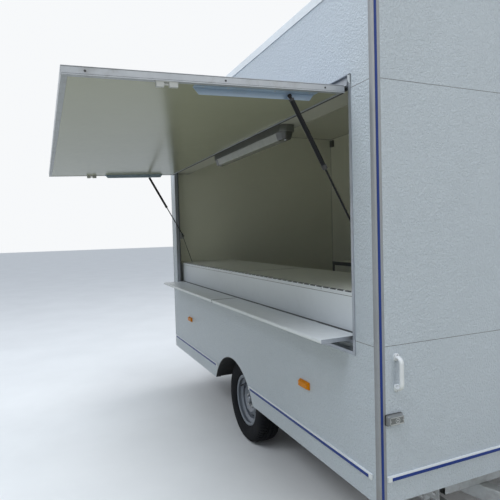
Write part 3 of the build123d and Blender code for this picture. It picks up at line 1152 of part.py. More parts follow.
save(side_door, "side_door")

# Door handle: plate, spindle and lever by the leaf's free edge
LATCH_X = LEAF_REAR + LATCH_INSET
LATCH_Z = at_height(LATCH_HEIGHT)
with BuildPart() as door_handle:
    latch_face = Plane(origin=(LATCH_X, SIDE, LATCH_Z), x_dir=(-1, 0, 0), z_dir=(0, 1, 0))
    with BuildSketch(latch_face):
        RectangleRounded(LATCH_WIDTH, LATCH_TALL, 12)
    extrude(amount=LATCH_PLATE)
    with BuildSketch(latch_face.offset(LATCH_PLATE)):
        with Locations((0, LATCH_RISE)):
            Circle(10)
    extrude(amount=LATCH_STANDOFF)
    with BuildSketch(latch_face.offset(LATCH_PLATE + LATCH_STANDOFF - 8)):
        with Locations((10 - LEVER_REACH / 2, LATCH_RISE)):
            RectangleRounded(LEVER_REACH, 20, 9)
    extrude(amount=10)
save(door_handle, "door_handle")

# Side marker lamps, two on each side wall, each a tapered lens on a base
with BuildPart() as side_markers:
    for side, station, marker_height in MARKERS:
        lamp_face = Plane(origin=(at_station(station), side * SIDE, at_height(marker_height)),
                          x_dir=(-side, 0, 0), z_dir=(0, side, 0))
        with BuildSketch(lamp_face):
            RectangleRounded(MARKER_LENGTH, MARKER_HEIGHT, 5)
        extrude(amount=MARKER_BASE)
        with BuildSketch(lamp_face.offset(MARKER_BASE)):
            RectangleRounded(MARKER_LENGTH - 2 * LENS_MARGIN, MARKER_HEIGHT - 2 * LENS_MARGIN, 4)
        extrude(amount=MARKER_PROUD - MARKER_BASE, taper=14)
save(side_markers, "side_markers")

# Front position lamps, each a tapered lens on a base
with BuildPart() as front_lamps:
    for side in (-1, 1):
        lamp_face = Plane(origin=(FRONT, side * (SIDE - FRONT_LAMP_INSET), at_height(FRONT_LAMP_HEIGHT)),
                          x_dir=(0, 1, 0), z_dir=(1, 0, 0))
        with BuildSketch(lamp_face):
            RectangleRounded(FRONT_LAMP_WIDTH, FRONT_LAMP_TALL, 7)
        extrude(amount=FRONT_LAMP_BASE)
        with BuildSketch(lamp_face.offset(FRONT_LAMP_BASE)):
            RectangleRounded(FRONT_LAMP_WIDTH - 2 * LENS_MARGIN, FRONT_LAMP_TALL - 2 * LENS_MARGIN, 6)
        extrude(amount=FRONT_LAMP_PROUD - FRONT_LAMP_BASE, taper=12)
save(front_lamps, "front_lamps")

# Grab handles: an oval bow swept between two feet
with BuildPart() as grab_handles:
    for side in (-1, 1):
        grip = Plane(origin=(FRONT, side * (SIDE - HANDLE_INSET), 0), x_dir=(1, 0, 0), z_dir=(0, -1, 0))
        bow_out = HANDLE_STANDOFF - HANDLE_DEPTH / 2
        low = at_height(HANDLE_BOTTOM + HANDLE_FOOT / 2)
        high = at_height(HANDLE_TOP - HANDLE_FOOT / 2)
        with BuildLine(grip) as bow:
            FilletPolyline((HANDLE_FOOT_RISE - 2, low), (bow_out, low), (bow_out, high),
                           (HANDLE_FOOT_RISE - 2, high), radius=HANDLE_BEND)
        with BuildSketch(Plane(origin=bow.line @ 0, x_dir=(0, 1, 0), z_dir=bow.line % 0)):
            Ellipse(HANDLE_WIDTH / 2 - 2, HANDLE_DEPTH / 2)
        sweep()
        for foot in (low, high):
            with BuildSketch(Plane(origin=(FRONT, side * (SIDE - HANDLE_INSET), foot),
                                   x_dir=(0, 1, 0), z_dir=(1, 0, 0))):
                RectangleRounded(HANDLE_WIDTH, HANDLE_FOOT, 9)
            extrude(amount=HANDLE_FOOT_RISE, taper=12)
save(grab_handles, "grab_handles")

# Rear lamp clusters: three tapered lenses on a base
with BuildPart() as rear_lamps:
    for side in (-1, 1):
        lamp_face = Plane(origin=(REAR, side * (SIDE - REAR_LAMP_INSET), at_height(REAR_LAMP_HEIGHT)),
                          x_dir=(0, -1, 0), z_dir=(-1, 0, 0))
        with BuildSketch(lamp_face):
            RectangleRounded(REAR_LAMP_WIDTH, REAR_LAMP_TALL, 10)
        extrude(amount=REAR_LAMP_BASE, taper=3)
        for middle, length in REAR_LENSES:
            with BuildSketch(lamp_face.offset(REAR_LAMP_BASE)):
                with Locations((side * middle, 0)):
                    RectangleRounded(length, REAR_LAMP_TALL - 12, 8)
            extrude(amount=REAR_LAMP_PROUD - REAR_LAMP_BASE, taper=6)
save(rear_lamps, "rear_lamps")
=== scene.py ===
import json
import math
from contextlib import contextmanager
from functools import partial

import bmesh
import bpy
from mathutils import Matrix, Vector


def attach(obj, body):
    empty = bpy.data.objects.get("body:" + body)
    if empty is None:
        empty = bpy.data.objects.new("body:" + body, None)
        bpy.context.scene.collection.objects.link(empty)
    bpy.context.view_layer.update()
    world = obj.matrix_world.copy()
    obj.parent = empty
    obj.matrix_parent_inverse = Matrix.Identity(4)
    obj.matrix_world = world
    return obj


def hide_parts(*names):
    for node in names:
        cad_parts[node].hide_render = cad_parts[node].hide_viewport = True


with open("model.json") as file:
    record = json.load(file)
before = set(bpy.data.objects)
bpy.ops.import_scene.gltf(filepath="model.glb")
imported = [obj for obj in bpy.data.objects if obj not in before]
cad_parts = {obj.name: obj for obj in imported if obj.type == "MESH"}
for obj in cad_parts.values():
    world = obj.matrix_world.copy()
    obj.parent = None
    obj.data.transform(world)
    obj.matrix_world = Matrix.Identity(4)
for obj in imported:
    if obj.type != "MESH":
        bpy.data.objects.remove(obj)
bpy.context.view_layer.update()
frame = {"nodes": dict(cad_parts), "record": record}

# Places that the pieces share, in metres. The serving side is at -y, and x falls towards the rear
GROUND = -0.430
FRONT = -1.300
REAR = -4.800
SIDE = 1.045
INNER = 1.005
HALF_WALL = 0.020
INNER_FRONT = -1.340
INNER_REAR = -4.760
PANEL_FRONT = -1.325
PANEL_REAR = -4.775
CEILING = 2.350
FLOOR_TOP = 0.030
MIDDLE_X = -3.050
LOWER_SEAM = 0.6954
UPPER_SEAM = 1.8604
AXLE_X = -3.078
AXLE_Z = -0.110
WHEEL_Y = 0.8605
JAMB_FRONT = -1.475
JAMB_REAR = -4.625
SILL_TOP = 0.642
HEAD_UNDER = 1.884
HINGE_Y = -1.051
HINGE_Z = 1.876
HATCH_FRONT = -1.481
HATCH_REAR = -4.619
HATCH_THICK = 0.034
OPEN = math.radians(88.0)
BOARD_FRONT = -1.482
BOARD_REAR = -4.618
BOARD_Y = -0.9815
WORKTOP_TOP = 0.910
SHELF_TOP = 0.710


class Spot:
    """A flat place to build on: x and y along it, z out of it."""

    def __init__(self, origin, x, z):
        self.origin = Vector(origin)
        self.x = Vector(x).normalized()
        self.z = Vector(z).normalized()
        self.y = self.z.cross(self.x)

    def at(self, a, b, c=0.0):
        return self.origin + self.x * a + self.y * b + self.z * c


def upward(height, x=0.0, y=0.0):
    """A level place seen from above."""
    return Spot((x, y, height), (1, 0, 0), (0, 0, 1))


def downward(height, y=0.0):
    """A level place seen from below; its y runs to the serving side."""
    return Spot((0, y, height), (1, 0, 0), (0, 0, -1))


def forward(x, y=0.0, z=0.0):
    """An upright place that looks forward; its x runs to the left."""
    return Spot((x, y, z), (0, 1, 0), (1, 0, 0))


def sideways(way, reach):
    """An upright place that looks left (way 1, x running backward) or to the serving side (way -1)."""
    return Spot((0, way * reach, 0), (-way, 0, 0), (0, way, 0))


def run_along(spot, start, level=0.0):
    """For outlines drawn along a wall: x is up the wall, y is out of it and z runs along it."""
    return Spot(spot.at(start, level), spot.y, spot.x)


WORLD = upward(0)
SERVING = sideways(-1, SIDE)
LEFT = sideways(1, SIDE)
NOSE = forward(FRONT)
TAIL = Spot((REAR, 0, 0), (0, -1, 0), (-1, 0, 0))
# On the hatch x runs forward, y from the hinge to the free edge, z out of its inner face
HATCH = Spot((0, HINGE_Y, HINGE_Z), (1, 0, 0), (0, math.cos(OPEN), -math.sin(OPEN)))
HATCH_EDGES = ((HATCH_FRONT, 1), (HATCH_REAR, -1))


# Materials

class Look:
    """Builds the nodes of a material, or of the sky, with short calls."""

    def __init__(self, holder):
        self.holder = holder
        holder.use_nodes = True
        self.tree = holder.node_tree
        self.shader = self.tree.nodes.get("Principled BSDF")
        self.coordinates = self.make("TexCoord").outputs
        self.place = self.coordinates["Object"]
        self.normal = None
        self.stucco_share = None

    def make(self, kind, inputs=(), **settings):
        """A node with its settings, and with values or other nodes' outputs on its inputs."""
        node = self.tree.nodes.new("ShaderNode" + kind)
        for key, value in settings.items():
            setattr(node, key, value)
        for key, value in dict(inputs).items():
            self.put(node.inputs[key], value)
        return node

    def put(self, socket, value):
        """Links a socket to a socket, or sets a plain value on it."""
        if isinstance(value, bpy.types.NodeSocket):
            self.tree.links.new(value, socket)
        elif isinstance(value, tuple) and len(value) == 3 and socket.type == "RGBA":
            socket.default_value = (*value, 1.0)
        else:
            socket.default_value = value

    def stretched(self, scale, turn=0.0):
        """The place stretched, then turned by one angle about x and y."""
        return self.make("Mapping", {"Vector": self.place, "Rotation": (turn, turn, 0),
                                     "Scale": scale}).outputs["Vector"]

    def warped(self, size, amount):
        """The place shifted by a noise, so that a pattern's lines aren't straight."""
        wander = self.make("TexNoise", {"Vector": self.place, "Scale": 1.0 / size}).outputs["Color"]
        shift = self.make("VectorMath", {0: wander, "Scale": amount}, operation="SCALE").outputs[0]
        return self.make("VectorMath", {0: self.place, 1: shift}, operation="ADD").outputs[0]

    def noise(self, size, detail=3.0, harsh=0.5, at=None, warp=0.0):
        return self.make("TexNoise", {"Vector": at or self.place, "Scale": 1.0 / size, "Detail": detail,
                                      "Roughness": harsh, "Distortion": warp}).outputs["Fac"]

    def cells(self, size, at):
        return self.make("TexVoronoi", {"Vector": at, "Scale": 1.0 / size}, feature="F1").outputs["Distance"]

    def span(self, value, low, high, to_low=0.0, to_high=1.0):
        return self.make("MapRange", {"Value": value, "From Min": low, "From Max": high, "To Min": to_low,
                                      "To Max": to_high}, clamp=True).outputs["Result"]

    def maths(self, operation, a, b):
        return self.make("Math", {0: a, 1: b}, operation=operation).outputs[0]

    def blend(self, factor, a, b, way="MIX"):
        return self.make("Mix", {0: factor, 6: a, 7: b}, data_type="RGBA", blend_type=way).outputs[2]

    def axis(self, index):
        return self.make("SeparateXYZ", {0: self.place}).outputs[index]

    def relief(self, height, depth, strength):
        """Adds a bump to those that the shader's normal has."""
        bump = self.make("Bump", {"Strength": strength, "Distance": depth, "Height": height})
        if self.normal is not None:
            self.put(bump.inputs["Normal"], self.normal)
        self.normal = bump.outputs["Normal"]
        self.put(self.shader.inputs["Normal"], self.normal)

    def outside(self):
        """1 on the body's outer skins and 0 on its inner ones."""
        across = self.maths("ABSOLUTE", self.axis(1), 0.0)
        along = self.maths("ABSOLUTE", self.maths("SUBTRACT", self.axis(0), MIDDLE_X), 0.0)
        side = self.maths("GREATER_THAN", across, SIDE - HALF_WALL)
        end = self.maths("GREATER_THAN", along, FRONT - MIDDLE_X - HALF_WALL)
        top = self.maths("GREATER_THAN", self.axis(2), CEILING + HALF_WALL)
        return self.maths("MAXIMUM", side, self.maths("MAXIMUM", end, top))

    def under_hatch(self):
        """1 on the hatch's inner face and 0 on its outer one."""
        reach = self.maths("MULTIPLY", self.maths("SUBTRACT", self.axis(1), HINGE_Y), math.cos(OPEN))
        drop = self.maths("MULTIPLY", self.maths("SUBTRACT", self.axis(2), HINGE_Z), -math.sin(OPEN))
        return self.maths("GREATER_THAN", self.maths("ADD", reach, drop), HATCH_THICK / 2)

    def seen(self):
        """1 for rays that show a background: camera, glossy and transmission ones."""
        rays = self.make("LightPath").outputs
        shown = self.maths("MAXIMUM", rays["Is Camera Ray"], rays["Is Glossy Ray"])
        return self.maths("MAXIMUM", shown, rays["Is Transmission Ray"])


def scaled(colour, factor):
    return tuple(min(1.0, c * factor) for c in colour)


def mottled(look, colour, vary, size):
    """A colour that is a little darker and paler in soft blotches."""
    return look.blend(look.span(look.noise(size, 5.0, 0.6), 0.3, 0.7),
                      scaled(colour, 1.0 - vary), scaled(colour, 1.0 + vary))


# Grains: each adds its relief to a look and returns the base colour with its marks in it

def peel(look, base, colour, size, depth):
    look.relief(look.noise(size, 2.0, 0.4), depth, 0.7)
    return base


def cast(look, base, colour, size, depth):
    look.relief(look.noise(size, 8.0, 0.75), depth, 0.9)
    return base


def spangle(look, base, colour, size, depth):
    flakes = look.cells(size, look.warped(size * 2, size))
    look.relief(flakes, depth, 0.4)
    return look.blend(look.span(flakes, 0.0, 0.8, 0.0, 0.35), base, scaled(colour, 0.72))


def brushed(look, base, colour, size, depth, scale):
    lines = look.noise(size, 4.0, 0.6, look.stretched(scale))
    look.relief(lines, depth, 0.6)
    return look.blend(look.span(lines, 0.35, 0.65, 0.0, 0.25), base, scaled(colour, 0.8))


along_x = partial(brushed, scale=(0.03, 1, 1))
along_z = partial(brushed, scale=(1, 1, 0.03))


def wood(look, base, colour, size, depth):
    lines = look.noise(size, 6.0, 0.65, look.stretched((0.05, 1, 1)), 1.0)
    look.relief(lines, depth, 0.6)
    return look.blend(look.span(lines, 0.35, 0.62), base, scaled(colour, 0.6))


def stucco(look, base, colour, size, depth):
    lay = look.stretched((1.0, 1.0, 0.6), 0.6)
    lumps = look.span(look.noise(size, 2.0, 0.45, lay, 0.7), 0.36, 0.64)
    threads = look.noise(size * 0.45, 1.0, 0.5, lay, 0.4)
    height = look.maths("ADD", lumps, look.maths("MULTIPLY", threads, 0.5))
    height = look.maths("MULTIPLY", height, look.stucco_share)
    look.relief(height, depth, 1.0)
    return look.blend(look.span(height, 0.2, 1.2, 0.0, 0.10), base, (0.6, 0.6, 0.6), "MULTIPLY")


GRIME = (0.17, 0.15, 0.12)


def soiled(look, base, roughness, dirt, low_dirt):
    """Grime in spots all over, and more of it near the ground."""
    if dirt:
        spots = look.span(look.noise(0.09, 9.0, 0.72), 0.52, 0.8, 0.0, dirt)
        base = look.blend(spots, base, GRIME)
        roughness = look.maths("ADD", roughness, look.maths("MULTIPLY", spots, 0.3))
    if low_dirt:
        rise = look.span(look.axis(2), -0.05, 0.55, 1.0, 0.0)
        patches = look.span(look.noise(0.12, 8.0, 0.7), 0.3, 0.7)
        mask = look.maths("MULTIPLY", look.maths("MULTIPLY", rise, rise), patches)
        base = look.blend(look.maths("MULTIPLY", mask, low_dirt), base, GRIME)
    return base, roughness


def scuffed(look, base, roughness, colour, scuffs):
    """Pale, rougher scratches that run along x."""
    marks = look.noise(0.02, 6.0, 0.8, look.stretched((0.25, 1, 1)), 2.0)
    mask = look.span(marks, 0.64, 0.72, 0.0, scuffs)
    base = look.blend(mask, base, scaled(colour, 1.5))
    return base, look.maths("ADD", roughness, look.maths("MULTIPLY", mask, 0.25))


# The denoiser takes a surface below about 0.274 for a mirror, and a noise across that value leaves flecks
SMOOTHEST = 0.285
UNDER_SHEEN = 0.17
COAT_ROUGHNESS = 0.06
looks = {}


def finish(name, colour, rough, metal=0.0, vary=0.06, blotch=0.6, patchy=0.08, grain=None, waves=0.0,
           dirt=0.0, low_dirt=0.0, coat=0.0, scuffs=0.0, through=0.0, inner=None, under=None, shine=0.5):
    """A surface with colour blotches, uneven roughness, relief, dirt and wear.

    inner is the colour of the body's inner skins, their own cream made paler as painted light; under is
    painted shade and painted ground reflection for the hatch's inner face.
    """
    look = Look(bpy.data.materials.new(name))
    base = mottled(look, colour, vary, blotch)
    # The inner skins' cream is partly their own tone and partly painted light: paler than the outer skins, to
    # lift the shaded cabin
    if inner:
        base = look.blend(look.outside(), mottled(look, inner, vary, blotch), base)
        look.stucco_share = look.span(look.outside(), 0.0, 1.0, 0.3, 1.0)
    # Painted shade: the hatch's inner face gets a darker olive colour for its shade and the ground's
    # reflection
    if under:
        base = look.blend(look.under_hatch(), base, under)
        look.stucco_share = look.span(look.under_hatch(), 0.0, 1.0, 1.0, 0.0)
    base = look.blend(look.span(look.noise(0.012, 4.0, 0.7), 0.35, 0.75, 0.0, 0.5), base,
                      scaled((1.0, 1.0, 1.0), 1.0 - 0.7 * vary), "MULTIPLY")
    roughness = look.span(look.noise(0.05, 6.0, 0.65), 0.3, 0.7, max(rough - patchy, min(rough, SMOOTHEST)),
                          rough + patchy)
    if under:
        sheen = look.maths("MULTIPLY", look.under_hatch(), UNDER_SHEEN)
        roughness = look.maths("SUBTRACT", roughness, sheen)
    if waves:
        look.relief(look.noise(0.35, 1.0), waves, 0.6)
    if grain:
        kind, size, depth = grain
        base = kind(look, base, colour, size, depth)
    base, roughness = soiled(look, base, roughness, dirt, low_dirt)
    if scuffs:
        base, roughness = scuffed(look, base, roughness, colour, scuffs)
    for key, value in (("Base Color", base), ("Roughness", roughness), ("Metallic", metal),
                       ("Specular IOR Level", shine), ("Coat Weight", coat),
                       ("Coat Roughness", COAT_ROUGHNESS), ("Transmission Weight", through)):
        look.put(look.shader.inputs[key], value)
    looks[name] = look.holder
    return look


WALL_WHITE = (0.520, 0.573, 0.633)
WALL = dict(vary=0.02, blotch=0.9, grain=(stucco, 0.0064, 0.0023), dirt=0.03)
BOARD = dict(vary=0.02, grain=(peel, 0.0012, 0.00008), dirt=0.06)
LAMINATE = dict(vary=0.03, grain=(peel, 0.001, 0.0001))
MOULDED = dict(grain=(peel, 0.0015, 0.0001))

# Steel, aluminium and wood
finish("galvanised", (0.42, 0.44, 0.45), 0.5, 0.8, grain=(spangle, 0.018, 0.0002), dirt=0.5, low_dirt=0.25)
finish("zinc_steel", (0.50, 0.51, 0.52), 0.4, 0.85, grain=(cast, 0.006, 0.0001), dirt=0.35)
finish("screw_steel", (0.42, 0.43, 0.45), 0.35, 0.85, patchy=0.1, grain=(cast, 0.001, 0.00005), dirt=0.25)
finish("black_steel", (0.030, 0.030, 0.033), 0.42, grain=(cast, 0.004, 0.0002), dirt=0.4)
# Wheel rims: a silver made darker, partway to painted shade
finish("rim_steel", (0.17, 0.19, 0.225), 0.37, 0.45, grain=(peel, 0.003, 0.00008), dirt=0.6, coat=0.15)
finish("strut_black", (0.005, 0.005, 0.006), 0.45, patchy=0.05, grain=(peel, 0.002, 0.00003), dirt=0.1,
       shine=0.15)
# Strut rods: near black and barely metallic, a painted dark reflection in place of a chrome mirror
finish("chrome", (0.014, 0.014, 0.016), 0.34, 0.15, patchy=0.05, grain=(along_z, 0.002, 0.00002), dirt=0.1,
       shine=0.15)
finish("aluminium", (0.35, 0.375, 0.415), 0.42, 0.7, grain=(along_z, 0.002, 0.00005), dirt=0.3)
finish("post_grey", (0.27, 0.28, 0.295), 0.42, 0.35, grain=(along_z, 0.002, 0.00005), low_dirt=0.6, dirt=0.3)
finish("hatch_rail", (0.38, 0.40, 0.435), 0.46, 0.2, patchy=0.1, grain=(along_x, 0.003, 0.00008), dirt=0.5)
finish("plywood", (0.20, 0.145, 0.105), 0.55, vary=0.12, grain=(wood, 0.02, 0.0004), dirt=0.3)

# Rubber, sealant and black or blue plastic
finish("tyre", (0.010, 0.011, 0.014), 0.9, vary=0.2, blotch=0.1, grain=(cast, 0.002, 0.0002), dirt=0.08,
       shine=0.2)
finish("rubber", (0.024, 0.024, 0.026), 0.62, vary=0.15, blotch=0.1, grain=(cast, 0.003, 0.0001), dirt=0.25)
finish("sealant", (0.045, 0.048, 0.052), 0.6, grain=(peel, 0.004, 0.0003), dirt=0.25)
finish("edge_grey", (0.15, 0.155, 0.16), 0.45, grain=(along_x, 0.002, 0.0001), dirt=0.15)
finish("black_plastic", (0.016, 0.017, 0.019), 0.55, grain=(peel, 0.0016, 0.0002), dirt=0.25, shine=0.35)
finish("blue_plastic", (0.004, 0.028, 0.19), 0.42, vary=0.12, grain=(peel, 0.002, 0.0001), dirt=0.12,
       shine=0.3)

# The body's white and grey skins, boards and fittings
# Wall skins: the inner cream is partly its own tone and partly painted light, made paler than the outer white
# to lift the shaded cabin
finish("wall_white", WALL_WHITE, 0.33, waves=0.002, low_dirt=0.08, inner=(0.86, 0.86, 0.75), **WALL)
# Gelcoat: white outside; its inner face gets a painted shade colour, olive grey for the shade and the
# ground's reflection
finish("gelcoat", WALL_WHITE, 0.33, patchy=0.04, under=(0.36, 0.37, 0.29), waves=0.003, shine=0.2, **WALL)
finish("trim_white", (0.70, 0.73, 0.76), 0.34, grain=(peel, 0.004, 0.0001), dirt=0.12)
# The strut rails are white; their darker blue grey is painted shade and painted sky light under the hatch
finish("rail_white", (0.30, 0.39, 0.52), 0.36, grain=(peel, 0.003, 0.0001), dirt=0.25)
finish("board_white", (0.70, 0.735, 0.77), 0.42, scuffs=0.1, **BOARD)
# Inner boards: cream partly their own tone, and made paler as painted light for the shaded cabin
finish("board_inside", (0.82, 0.82, 0.72), 0.42, **BOARD)
# The header box's inside: a darker copy of the inner boards' cream, painted shade
finish("header_inside", (0.50, 0.50, 0.45), 0.42, **BOARD)
finish("worktop_laminate", (0.84, 0.845, 0.79), 0.36, dirt=0.06, scuffs=0.1, **LAMINATE)
finish("shelf_laminate", (0.73, 0.76, 0.79), 0.38, dirt=0.12, scuffs=0.15, **LAMINATE)
finish("lamp_grey", (0.13, 0.135, 0.125), 0.4, dirt=0.15, **MOULDED)
# Corner beads: a greyer copy of the inner cream, painted shade in the cabin's corners
finish("corner_shade_grey", (0.60, 0.60, 0.53), 0.5, grain=(peel, 0.004, 0.0003), dirt=0.15)
finish("handle_white", (0.70, 0.72, 0.74), 0.36, dirt=0.15, **MOULDED)
finish("latch_white", (0.46, 0.47, 0.47), 0.36, dirt=0.35, **MOULDED)

UPRIGHT = (1, 1, 0.02)
LENGTHWISE = (0.02, 1, 1)
LAMP_HOUSING = (0.03, 0.03, 0.033)
LAMP_END = (0.10, 0.10, 0.095)


def lens(name, colour, rough, ribs, through, parts=(), coat=0.1, shine=0.5):
    """A moulded lamp lens with fine ribs; parts (axis, low, high, colour) recolour it along an axis."""
    look = finish(name, colour, rough, vary=0.08, blotch=0.05, patchy=0.03, dirt=0.08, coat=coat,
                  through=through, shine=shine)
    look.relief(look.noise(0.004, 1.0, 0.3, look.stretched(ribs)), 0.0008, 0.9)
    base = look.shader.inputs["Base Color"].links[0].from_socket
    for index, low, high, other in parts:
        place = look.maths("ABSOLUTE", look.axis(index), 0.0)
        inside = look.maths("MULTIPLY", look.maths("GREATER_THAN", place, low),
                            look.maths("LESS_THAN", place, high))
        base = look.blend(inside, base, other)
    look.put(look.shader.inputs["Base Color"], base)


lens("amber_lens", (0.66, 0.225, 0.002), 0.36, UPRIGHT, 0.0, coat=0.0, shine=0.1)
lens("clear_lens", (0.23, 0.24, 0.245), 0.2, UPRIGHT, 0.2, parts=((0, 1.292, 1.301, LAMP_HOUSING),))
lens("reflector_red", (0.50, 0.012, 0.010), 0.32, UPRIGHT, 0.0)
lens("red_lens", (0.42, 0.010, 0.010), 0.18, UPRIGHT, 0.0,
     parts=((1, 0.909, 0.979, (0.80, 0.26, 0.008)), (1, 0.770, 0.839, (0.55, 0.56, 0.57)),
            (0, 4.799, 4.814, LAMP_HOUSING)))
lens("diffuser", (0.36, 0.37, 0.34), 0.24, LENGTHWISE, 0.25,
     parts=((0, 2.2, 2.33, LAMP_END), (0, 3.41, 3.6, LAMP_END)))


# Shared ways of building a mesh

def block(bm, spot, low, high):
    """A box between two corners in a spot's own directions."""
    corners = [bm.verts.new(spot.at(x, y, z)) for z in (low[2], high[2]) for y in (low[1], high[1])
               for x in (low[0], high[0])]
    for loop in ((0, 2, 3, 1), (4, 5, 7, 6), (0, 1, 5, 4), (2, 6, 7, 3), (0, 4, 6, 2), (1, 3, 7, 5)):
        bm.faces.new([corners[i] for i in loop])


def skin(bm, rings, closed=False):
    """Faces from each ring of vertices to the next; closed joins the last ring to the first.

    A ring may also be a single vertex.
    """
    steps = max(len(ring) for ring in rings)
    for a, b in zip(rings, rings[1:] + rings[:1] if closed else rings[1:]):
        for k in range(steps):
            n = k + 1
            loop = dict.fromkeys((a[k % len(a)], a[n % len(a)], b[n % len(b)], b[k % len(b)]))
            if len(loop) > 2:
                bm.faces.new(list(loop))


def prism(bm, spot, outline, low, high):
    """An outline in a spot's x and y, drawn out from low to high along its z."""
    ends = [[bm.verts.new(spot.at(x, y, z)) for x, y in outline] for z in (low, high)]
    bm.faces.new(ends[0][::-1])
    bm.faces.new(ends[1])
    skin(bm, ends)


def spun(bm, spot, profile, steps, centre=(0.0, 0.0), closed=False):
    """A profile of radius and height turned about a spot's z axis."""
    rings = []
    for radius, height in profile:
        turns = [math.tau * k / steps for k in range(steps if radius > 1e-6 else 1)]
        rings.append([bm.verts.new(spot.at(centre[0] + radius * math.cos(turn),
                                           centre[1] + radius * math.sin(turn), height))
                      for turn in turns])
    skin(bm, rings, closed)


def rod(bm, start, end, radius, steps):
    """A round bar with softly turned ends."""
    start, end = Vector(start), Vector(end)
    run = end - start
    length = run.length
    edge = min(radius * 0.2, length * 0.2)
    spun(bm, Spot(start, run.orthogonal(), run),
         [(0, 0), (radius - edge, 0), (radius, edge), (radius, length - edge), (radius - edge, length),
          (0, length)], steps)


def screw(bm, spot, a, b, radius, c=0.0):
    """A pan head with a driven recess."""
    r, h = radius, radius * 0.5
    spun(bm, spot, [(0, c + 0.35 * h), (0.26 * r, c + 0.3 * h), (0.36 * r, c + 0.95 * h), (0.62 * r, c + h),
                    (0.9 * r, c + 0.6 * h), (r, c)], 14, (a, b))


def bolt(bm, spot, a, b, size, c=0.0):
    """A hexagon head on a washer."""
    spun(bm, spot, [(size * 1.25, c), (size * 1.25, c + size * 0.2), (size * 0.9, c + size * 0.22)], 24,
         (a, b))
    spun(bm, spot, [(size, c + size * 0.2), (size, c + size * 0.75), (size * 0.86, c + size * 0.9),
                    (0, c + size * 0.92)], 6, (a, b))


def soften(target, width, angle):
    """Rounds the edges that are sharper than an angle."""
    soft = target.modifiers.new("edges", "BEVEL")
    soft.width = width
    soft.segments = 2
    soft.limit_method = "ANGLE"
    soft.angle_limit = angle
    soft.harden_normals = True


SHARP = math.radians(38)


def add_piece(name, bm, look, body, bevel=0.0):
    """Turns a mesh into a piece that rides on a body."""
    bmesh.ops.remove_doubles(bm, verts=bm.verts, dist=1e-6)
    bmesh.ops.recalc_face_normals(bm, faces=bm.faces)
    for face in bm.faces:
        face.smooth = True
    for edge in bm.edges:
        edge.smooth = len(edge.link_faces) == 2 and edge.calc_face_angle() < SHARP
    mesh = bpy.data.meshes.new(name)
    bm.to_mesh(mesh)
    bm.free()
    mesh.materials.append(looks[look])
    made = bpy.data.objects.new(name, mesh)
    bpy.context.scene.collection.objects.link(made)
    if bevel:
        soften(made, bevel, SHARP)
    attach(made, body)
    return made


@contextmanager
def piece(name, look, body="trailer", slot=None, bevel=0.0):
    """Gives an empty mesh, and makes it a piece when the block that fills it ends."""
    bm = bmesh.new()
    yield bm
    add_piece(name, bm, look, body, bevel)


# The CAD nodes' own finishes and softened edges
SLOTS = {row["node"]: row["material_slot"] for row in frame["record"]["subparts"]}
SOFT = {name: width for width, names in {
    0.0006: "blue_inserts opening_frame strut_rails door_frame",
    0.0008: "jockey_stand corner_posts hatch_frame",
    0.001: "coupling_head jockey_fork counter_unit header_box side_door handbrake_lever corner_steadies",
    0.0012: "roof_edge",
    0.0015: "chassis_rails shelf_front shelf_rear door_handle",
    0.0018: "trim_rails",
    0.002: "stub_axles worktop back_counter",
    0.003: "lamp_base"}.items() for name in names.split()}
OWN = {"hatch_frame": "hatch_rail", "header_box": "header_inside", "hatch_latches": "latch_white",
       "back_counter": "board_inside", "corner_posts": "post_grey"}
NODE_SHARP = math.radians(42)
for name, node in frame["nodes"].items():
    look = looks[OWN.get(name, SLOTS[name])]
    for holder in node.material_slots:
        holder.material = look
    if name in SOFT:
        weld = node.modifiers.new("weld", "WELD")
        weld.merge_threshold = 0.00002
        soften(node, SOFT[name], NODE_SHARP)

# Wall seams: beads of dark sealant, on each wall from one place along it to another
BEAD = 0.0016
SEAMS = ((SERVING, PANEL_REAR, JAMB_REAR - 0.018), (SERVING, JAMB_FRONT + 0.018, PANEL_FRONT),
         (LEFT, -PANEL_FRONT, 1.364), (LEFT, 2.157, -PANEL_REAR), (NOSE, -INNER, INNER),
         (TAIL, -INNER, INNER))
with piece("panel_sealant", "edge_grey") as bm:
    for z in (LOWER_SEAM, UPPER_SEAM):
        for spot, low, high in SEAMS:
            prism(bm, run_along(spot, low, z),
                  [(-BEAD, -0.0003), (BEAD, -0.0003), (0.6 * BEAD, 0.0004), (-0.6 * BEAD, 0.0004)],
                  0, high - low)

# Worktop: its thin lip with screws, a broken dark line of painted shade in the gap along the lip, the dark
# lines of painted shade over the shelves and under the lip, and the filler between the worktop's panels
LIP_Y = BOARD_Y - 0.0015
DASH, DASH_GAP = 0.055, 0.013
with piece("worktop_lip", "trim_white", bevel=0.0006) as bm:
    block(bm, WORLD, (BOARD_REAR - 0.004, LIP_Y, 0.8865), (BOARD_FRONT + 0.004, BOARD_Y, WORKTOP_TOP))
with piece("lip_screws", "screw_steel") as bm:
    for k in range(5):
        screw(bm, sideways(-1, -LIP_Y), -1.848 - 0.669 * k, 0.898, 0.0036)
# Painted shade: short dark strips in the gap between the worktop and its lip
with piece("worktop_gap_shade", "sealant") as bm:
    for k in range(int((BOARD_FRONT - BOARD_REAR) / (DASH + DASH_GAP))):
        x = BOARD_REAR + k * (DASH + DASH_GAP)
        block(bm, WORLD, (x, LIP_Y - 0.0004, 0.9045), (x + DASH, -0.9720, WORKTOP_TOP + 0.0004))
